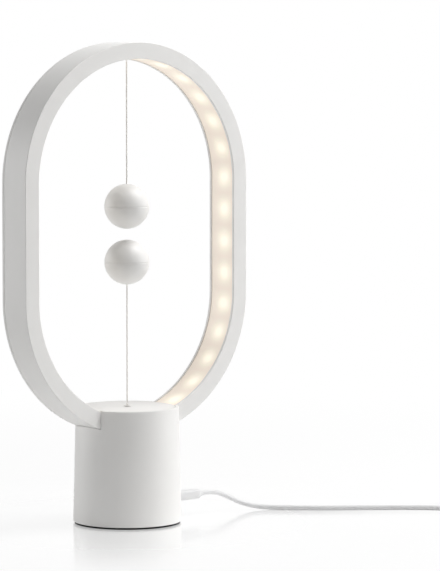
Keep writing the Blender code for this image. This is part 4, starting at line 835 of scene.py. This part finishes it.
def ball_half(name, body, node, middle, upwards, with_hole):
    """Outside arc from the pole or hole to the groove at the joint, then the inside arc back.
    On each arc the radius from the axis is R cos(angle) and the height is R sin(angle)."""
    inner = BALL_RADIUS - BALL_WALL
    hole = CORD_HOLE if with_hole else 0.0
    lowest = math.asin((JOINT_HALF_GAP + GROOVE) / BALL_RADIUS)
    out = np.linspace(math.acos(hole / BALL_RADIUS), lowest, OUTSIDE_STEPS)
    innermost = math.asin(JOINT_HALF_GAP / inner)
    back = np.linspace(innermost, math.acos(hole / inner), INSIDE_STEPS)
    shoulder = (BALL_RADIUS - GROOVE_SHOULDER, JOINT_HALF_GAP + GROOVE_SHOULDER)
    joint = np.array([shoulder, (BALL_RADIUS - GROOVE, JOINT_HALF_GAP)])
    outside = np.stack([BALL_RADIUS * np.cos(out), BALL_RADIUS * np.sin(out)], axis=-1)
    inside = np.stack([inner * np.cos(back), inner * np.sin(back)], axis=-1)
    profile = np.vstack([outside, joint, inside])
    profile[:, 1] = middle + (1 if upwards else -1) * profile[:, 1]
    grid = turned_grid(profile, BALL_SIDES)
    return piece(name, body, grid, with_hole, True, None, (node,), "white_abs")


UPPER_MIDDLE, LOWER_MIDDLE = 0.2335, 0.1925
ball_half("upper_ball_crown", "upper_ball", "upper_ball_top", UPPER_MIDDLE, True, True)
ball_half("upper_ball_cup", "upper_ball", "upper_ball_bottom", UPPER_MIDDLE, False, False)
ball_half("lower_ball_crown", "lower_ball", "lower_ball_top", LOWER_MIDDLE, True, False)
ball_half("lower_ball_cup", "lower_ball", "lower_ball_bottom", LOWER_MIDDLE, False, True)

# %% [markdown]
# ## Materials: colours and nodes
# Colours are written as sRGB hex, as a paint program shows them, and one function turns them to
# the linear values that Blender works with. Another adds a node with its settings and links.


# %% Colour and node helpers
def linear(hex_colour):
    """sRGB to linear: c / 12.92 below 0.04045, else ((c + 0.055) / 1.055) to the power 2.4."""
    srgb = np.array([int(hex_colour[i : i + 2], 16) for i in (1, 3, 5)]) / 255
    low, high = srgb / 12.92, ((srgb + 0.055) / 1.055) ** 2.4
    return (*np.where(srgb <= 0.04045, low, high).tolist(), 1.0)


def add(tree, kind, settings=None, inputs=None):
    """Adds a node. Each input is a constant, or another node's output socket, which is linked."""
    node = tree.nodes.new(kind)
    for name, value in (settings or {}).items():
        setattr(node, name, value)
    for name, value in (inputs or {}).items():
        if isinstance(value, bpy.types.NodeSocket):
            tree.links.new(value, node.inputs[name])
        else:
            node.inputs[name].default_value = value
    return node


def new_material(name):
    """An empty node material, and the piece's own coordinates."""
    material = bpy.data.materials.new(name)
    material.use_nodes = True
    tree = material.node_tree
    tree.nodes.clear()
    return material, tree, add(tree, "ShaderNodeTexCoord")


# A Mix node keeps its colour sockets after those for numbers and vectors.
MIX_A, MIX_B, MIXED = 6, 7, 2


def finished(tree, shader):
    """Links a shader's first output to the material's surface."""
    add(tree, "ShaderNodeOutputMaterial", inputs={"Surface": shader.outputs[0]})


# %% [markdown]
# ## Moulded, cast and plated finishes
# Most pieces share one structure: a fine grain that lifts the surface and changes its gloss a
# little, and a much wider, faint drift of colour, as in any moulded or plated batch. What differs
# is the grain's real size, its height, the gloss and the two colours. The true spark-eroded grain
# of such a housing is 0.1 to 0.2 mm, too fine to show, so it is drawn at 2 mm, ten times as coarse
# or more. The other grains are drawn coarser than real ones too, for the same reason.


# %% Grained finish
DRIFT_MM = 30.0
GLOSS_SPREAD = 0.05


def grained(name, colour, drift, roughness, grain_mm, height_mm, metallic=0.0, ior=1.5):
    """Noise with one cycle per grain gives the bump and gloss; wide noise mixes the two colours."""
    material, tree, coordinates = new_material(name)
    place = coordinates.outputs["Object"]
    grain_scale = {"Vector": place, "Scale": 1000 / grain_mm, "Detail": 2.0}
    grain = add(tree, "ShaderNodeTexNoise", inputs=grain_scale).outputs[0]
    wide_scale = {"Vector": place, "Scale": 1000 / DRIFT_MM, "Detail": 3.0}
    wide = add(tree, "ShaderNodeTexNoise", inputs=wide_scale).outputs[0]
    two_colours = {0: wide, MIX_A: linear(colour), MIX_B: linear(drift)}
    tint = add(tree, "ShaderNodeMix", {"data_type": "RGBA"}, two_colours)
    duller, shinier = roughness + GLOSS_SPREAD, roughness - GLOSS_SPREAD
    gloss_range = {"Value": grain, "To Min": shinier, "To Max": duller}
    gloss = add(tree, "ShaderNodeMapRange", inputs=gloss_range)
    bump_values = {"Height": grain, "Strength": 1.0, "Distance": height_mm / 1000}
    bump = add(tree, "ShaderNodeBump", inputs=bump_values)
    surface = {
        "Base Color": tint.outputs[MIXED],
        "Roughness": gloss.outputs[0],
        "Normal": bump.outputs[0],
        "Metallic": metallic,
        "IOR": ior,
    }
    finished(tree, add(tree, "ShaderNodeBsdfPrincipled", inputs=surface))
    return material


# White ABS, injection moulded with a spark-eroded matt grain: a soft, wide highlight.
ABS_IOR = 1.53
moulded_white = grained(
    "abs_white_spark_matt_moulded", "#E6E5E3", "#E2E1DF", 0.45, 2.0, 0.004, ior=ABS_IOR
)
# Soft white TPE jacket and overmould: matter than ABS, with a slightly greyer, waxy look.
tpe_white = grained("tpe_white_overmoulded", "#DCDCDC", "#D6D6D7", 0.48, 0.9, 0.012)
# Closed-cell rubber foam pad, die cut: black, dull and pitted.
foam_black = grained("foam_rubber_black_die_cut", "#151515", "#1C1B1A", 0.85, 0.5, 0.060)
# Grey cast iron ballast as it leaves the sand: dark, rough, a little rusty.
iron_cast = grained("iron_grey_sand_cast", "#6A696A", "#75655A", 0.70, 1.2, 0.12, metallic=0.8)
# Steel screws with a bright zinc plate: bluish, fairly sharp reflections.
steel_zinc = grained("steel_bright_zinc_plated", "#C3C7CC", "#B4B7B4", 0.30, 0.6, 0.004, metallic=1.0)
# Nickel plate over brass, steel or a magnet: warmer than zinc and shinier.
nickel = grained("nickel_plated_bright", "#D3CFC6", "#C6C1B6", 0.20, 0.8, 0.002, metallic=1.0)
# Green solder mask on glass-fibre board: glossy lacquer.
solder_mask = grained("solder_mask_green_on_glass_board", "#1F5A36", "#1A4E2F", 0.35, 1.0, 0.008)
# White solder mask of the LED strip.
strip_white = grained("solder_mask_white_strip", "#ECEBE6", "#E2E0DA", 0.40, 1.0, 0.008)
# Black engineering plastic of the chip and peg, moulded.
plastic_black = grained("plastic_black_moulded", "#1B1B1C", "#202022", 0.45, 0.6, 0.010)
# Red PVC wire insulation, extruded smooth.
pvc_red = grained("pvc_red_wire_insulation", "#A01F1A", "#8E1A17", 0.35, 0.8, 0.004)
print("plain finishes:", len(bpy.data.materials))

# %% [markdown]
# ## The opal, lit from behind
# Opal polycarbonate scatters each LED into a round soft glow, warm white in the middle and a dull
# beige between. The glow is a bell curve of the distance to the nearest LED: e to the power of
# minus distance squared over width squared, once narrow and once wide. The distance comes from the
# UV map: u is a whole number at each LED, and what is left of it is the way to that LED.

# %% Opal diffuser material
GLOW_WIDTH_MM = 5.6
HALO_WIDTH_MM = 11.0
LED_PITCH_MM = 24.0
BAND_UV_WIDTH_MM = 24.0
# How far across the band the LEDs shine through, and a whole number of LEDs and a half that makes
# every remainder run from -0.5 to 0.5 about its own LED.
LED_LINE = 0.40
LED_SHIFT = 50.5
MATHS = "ShaderNodeMath"
plus, minus, times, over, remains_of, power_of_e = (
    {"operation": name} for name in ("ADD", "SUBTRACT", "MULTIPLY", "DIVIDE", "FRACT", "EXPONENT")
)
opal, tree, coordinates = new_material("opal_polycarbonate_lit")
split = add(tree, "ShaderNodeSeparateXYZ", inputs={0: coordinates.outputs["UV"]})
shifted = add(tree, MATHS, plus, {0: split.outputs[0], 1: LED_SHIFT})
remainder = add(tree, MATHS, remains_of, {0: shifted.outputs[0]})
from_led = add(tree, MATHS, minus, {0: remainder.outputs[0], 1: 0.5})
along_mm = add(tree, MATHS, times, {0: from_led.outputs[0], 1: LED_PITCH_MM})
from_line = add(tree, MATHS, minus, {0: split.outputs[1], 1: LED_LINE})
across_mm = add(tree, MATHS, times, {0: from_line.outputs[0], 1: BAND_UV_WIDTH_MM})
along_squared = add(tree, MATHS, times, {0: along_mm.outputs[0], 1: along_mm.outputs[0]})
across_squared = add(tree, MATHS, times, {0: across_mm.outputs[0], 1: across_mm.outputs[0]})
distance_squared = add(tree, MATHS, plus, {0: along_squared.outputs[0], 1: across_squared.outputs[0]})
bells = []
for width in (GLOW_WIDTH_MM, HALO_WIDTH_MM):
    fall = add(tree, MATHS, over, {0: distance_squared.outputs[0], 1: -width * width})
    bells.append(add(tree, MATHS, power_of_e, {0: fall.outputs[0]}).outputs[0])
glow, halo = bells
between_tone, halo_tone, led_tone = linear("#AE9F92"), linear("#CDBFAE"), linear("#FFF6DC")
colour_mix = {"data_type": "RGBA"}
halo_parts = {0: halo, MIX_A: between_tone, MIX_B: halo_tone}
with_halo = add(tree, "ShaderNodeMix", colour_mix, halo_parts)
glow_parts = {0: glow, MIX_A: with_halo.outputs[MIXED], MIX_B: led_tone}
with_glow = add(tree, "ShaderNodeMix", colour_mix, glow_parts)
opal_surface = {
    "Base Color": linear("#D8D2C8"),
    "Roughness": 0.45,
    "Emission Color": with_glow.outputs[MIXED],
    "Emission Strength": 0.62,
}
finished(tree, add(tree, "ShaderNodeBsdfPrincipled", inputs=opal_surface))

# %% [markdown]
# ## Twisted cord
# The strands are in the mesh already. What is left is the yarn: fine slanting lines across each
# strand, a slightly furry matt surface, and the darker grooves where dust and shadow gather.

# %% Cord material
yarn, tree, coordinates = new_material("polyester_cord_twisted")
# The filaments are a few hundredths of a millimetre thick, too fine to show. These lines are drawn
# about 0.17 mm apart along the cord.
FIBRE_SLANT = math.radians(35.0)
FIBRE_SCALE = (2.2, 9.0, 1.0)
FIBRE_HEIGHT = 0.00004
slant = {
    "Vector": coordinates.outputs["UV"],
    "Rotation": (0.0, 0.0, FIBRE_SLANT),
    "Scale": FIBRE_SCALE,
}
slanted = add(tree, "ShaderNodeMapping", inputs=slant)
fibre_lines = {"Vector": slanted.outputs[0], "Scale": 1.0, "Distortion": 1.5}
fibres = add(tree, "ShaderNodeTexWave", inputs=fibre_lines)
# The darker colour lies in the low parts of the fibre relief: painted shade in the grooves between
# fibres, with some dust.
fibre_dust_and_shade_colours = {0: fibres.outputs["Fac"], MIX_A: linear("#E9E7E3"), MIX_B: linear("#F6F4F0")}
fibre_dust_and_shade_tone = add(tree, "ShaderNodeMix", colour_mix, fibre_dust_and_shade_colours)
fibre_relief = {"Height": fibres.outputs["Fac"], "Distance": FIBRE_HEIGHT}
fibre_bump = add(tree, "ShaderNodeBump", inputs=fibre_relief)
yarn_surface = {
    "Base Color": fibre_dust_and_shade_tone.outputs[MIXED],
    "Roughness": 0.8,
    "Sheen Weight": 0.2,
    "Normal": fibre_bump.outputs[0],
}
finished(tree, add(tree, "ShaderNodeBsdfPrincipled", inputs=yarn_surface))

# %% Give every piece its material
material_of_slot = {
    "white_abs": moulded_white,
    "opal_diffuser": opal,
    "white_cord": yarn,
    "white_cable": tpe_white,
    "black_rubber": foam_black,
    "ballast": iron_cast,
    "zinc_plated_steel": steel_zinc,
    "nickel_plate": nickel,
    "circuit_board_green": solder_mask,
    "strip_white": strip_white,
    "black_plastic": plastic_black,
    "wire_insulation": pvc_red,
}
slot_of_node = {row["node"]: row["material_slot"] for row in frame["record"]["subparts"]}
for name, cad_node in cad_nodes.items():
    for material_slot in cad_node.material_slots:
        material_slot.material = material_of_slot[slot_of_node[name]]
for made in bpy.context.scene.objects:
    if "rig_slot" in made and made.type == "MESH" and "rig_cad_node" not in made:
        made.data.materials.clear()
        made.data.materials.append(material_of_slot[made["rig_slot"]])
with_material = [o for o in bpy.data.objects if o.type == "MESH" and o.data.materials]
print("pieces with a material:", len(with_material))

# %% [markdown]
# ## Studio
# The photograph has a white sweep and a faintly glossy white table that mirrors the base. The
# table's white is its own colour. About four fifths of it near the lamp, and all of it further off,
# are given to the camera directly, so that shadows stay light. Seen from the camera, one soft light
# stands to the right, one of the same power to the left and behind, and a stronger one hangs above
# on the right. Together they leave the base darker left of its middle and bright on its right.

# %% Table
TABLE_REACH = 60.0
edge = np.array([-TABLE_REACH, TABLE_REACH])
table_x, table_y = np.meshgrid(edge, edge, indexing="ij")
table_mesh = mesh_from("table", np.stack([table_x, table_y, 0 * table_x], axis=-1), False, False)
table = bpy.data.objects.new("table", table_mesh)
bpy.context.scene.collection.objects.link(table)
table_mesh.flip_normals()
gloss_white, tree, coordinates = new_material("table_white_gloss_acrylic")
seen = add(tree, "ShaderNodeLightPath")
away = add(tree, "ShaderNodeVectorMath", {"operation": "LENGTH"}, {0: coordinates.outputs["Object"]})
GLOW_FROM, GLOW_TO, GLOW_NEAR_LAMP = 0.15, 0.9, 0.78
GLOSS_FROM, GLOSS_TO, GLOSS_NEAR_LAMP = 0.06, 0.28, 0.50
near_sweep = {
    "Value": away.outputs["Value"],
    "From Min": GLOW_FROM,
    "From Max": GLOW_TO,
    "To Min": GLOW_NEAR_LAMP,
    "To Max": 1.0,
}
glow_near = add(tree, "ShaderNodeMapRange", {"interpolation_type": "SMOOTHSTEP"}, near_sweep)
to_camera = {0: seen.outputs["Is Camera Ray"], 1: glow_near.outputs[0]}
glow_share = add(tree, "ShaderNodeMath", {"operation": "MULTIPLY"}, to_camera)
gloss_fade = {
    "Value": away.outputs["Value"],
    "From Min": GLOSS_FROM,
    "From Max": GLOSS_TO,
    "To Min": GLOSS_NEAR_LAMP,
    "To Max": 0.0,
}
gloss_share = add(tree, "ShaderNodeMapRange", {"interpolation_type": "SMOOTHSTEP"}, gloss_fade)
white_paint = add(tree, "ShaderNodeBsdfDiffuse", inputs={"Color": linear("#F4F4F4")})
PURE_WHITE = (1.0, 1.0, 1.0, 1.0)
TABLE_ROUGHNESS = 0.13
white_glow = add(tree, "ShaderNodeEmission", inputs={"Color": PURE_WHITE, "Strength": 1.0})
lit_parts = {0: glow_share.outputs[0], 1: white_paint.outputs[0], 2: white_glow.outputs[0]}
lit_white = add(tree, "ShaderNodeMixShader", inputs=lit_parts)
mirror = {"Color": PURE_WHITE, "Roughness": TABLE_ROUGHNESS}
gloss = add(tree, "ShaderNodeBsdfAnisotropic", inputs=mirror)
table_parts = {0: gloss_share.outputs[0], 1: lit_white.outputs[0], 2: gloss.outputs[0]}
finished(tree, add(tree, "ShaderNodeMixShader", inputs=table_parts))
table_mesh.materials.append(gloss_white)

# %% World
AMBIENT = 0.23
world = bpy.data.worlds.new("white_sweep")
bpy.context.scene.world = world
world.use_nodes = True
tree = world.node_tree
tree.nodes.clear()
seen = add(tree, "ShaderNodeLightPath")
larger = {"operation": "MAXIMUM"}
seen_or_mirrored = {0: seen.outputs["Is Camera Ray"], 1: seen.outputs["Is Glossy Ray"]}
either = add(tree, "ShaderNodeMath", larger, seen_or_mirrored)
or_through = {0: either.outputs[0], 1: seen.outputs["Is Transmission Ray"]}
shown = add(tree, "ShaderNodeMath", larger, or_through)
sky_range = {"Value": shown.outputs[0], "To Min": AMBIENT, "To Max": 1.0}
strength = add(tree, "ShaderNodeMapRange", inputs=sky_range)
white_sky = {"Color": PURE_WHITE, "Strength": strength.outputs[0]}
sky = add(tree, "ShaderNodeBackground", inputs=white_sky)
add(tree, "ShaderNodeOutputWorld", inputs={"Surface": sky.outputs[0]})

# %% Soft lights
AIM = Vector((0.0, 0.0, 0.19))


def soft_light(name, bearing, height, distance, size, power, tall=None):
    """A rectangular light at a bearing from the front (towards +x), aimed at the lamp's middle."""
    light = bpy.data.lights.new(name, "AREA")
    light.shape = "RECTANGLE"
    light.size, light.size_y = size, tall or size
    light.energy = power
    lamp = bpy.data.objects.new(name, light)
    bpy.context.scene.collection.objects.link(lamp)
    turn = math.radians(bearing)
    lamp.location = AIM + Vector((math.sin(turn) * distance, -math.cos(turn) * distance, height))
    lamp.rotation_mode = "QUATERNION"
    lamp.rotation_quaternion = (AIM - lamp.location).to_track_quat("-Z", "Y")
    lamp.visible_camera = False
    print(f"{name}: {power} W at bearing {bearing}")


soft_light("key_right", bearing=56.0, height=0.35, distance=1.5, size=1.0, power=7.2, tall=1.2)
soft_light("fill_left", bearing=-150.0, height=0.2, distance=1.5, size=0.9, power=7.2)
soft_light("top_box", bearing=60.0, height=1.4, distance=0.85, size=1.0, power=25.0)
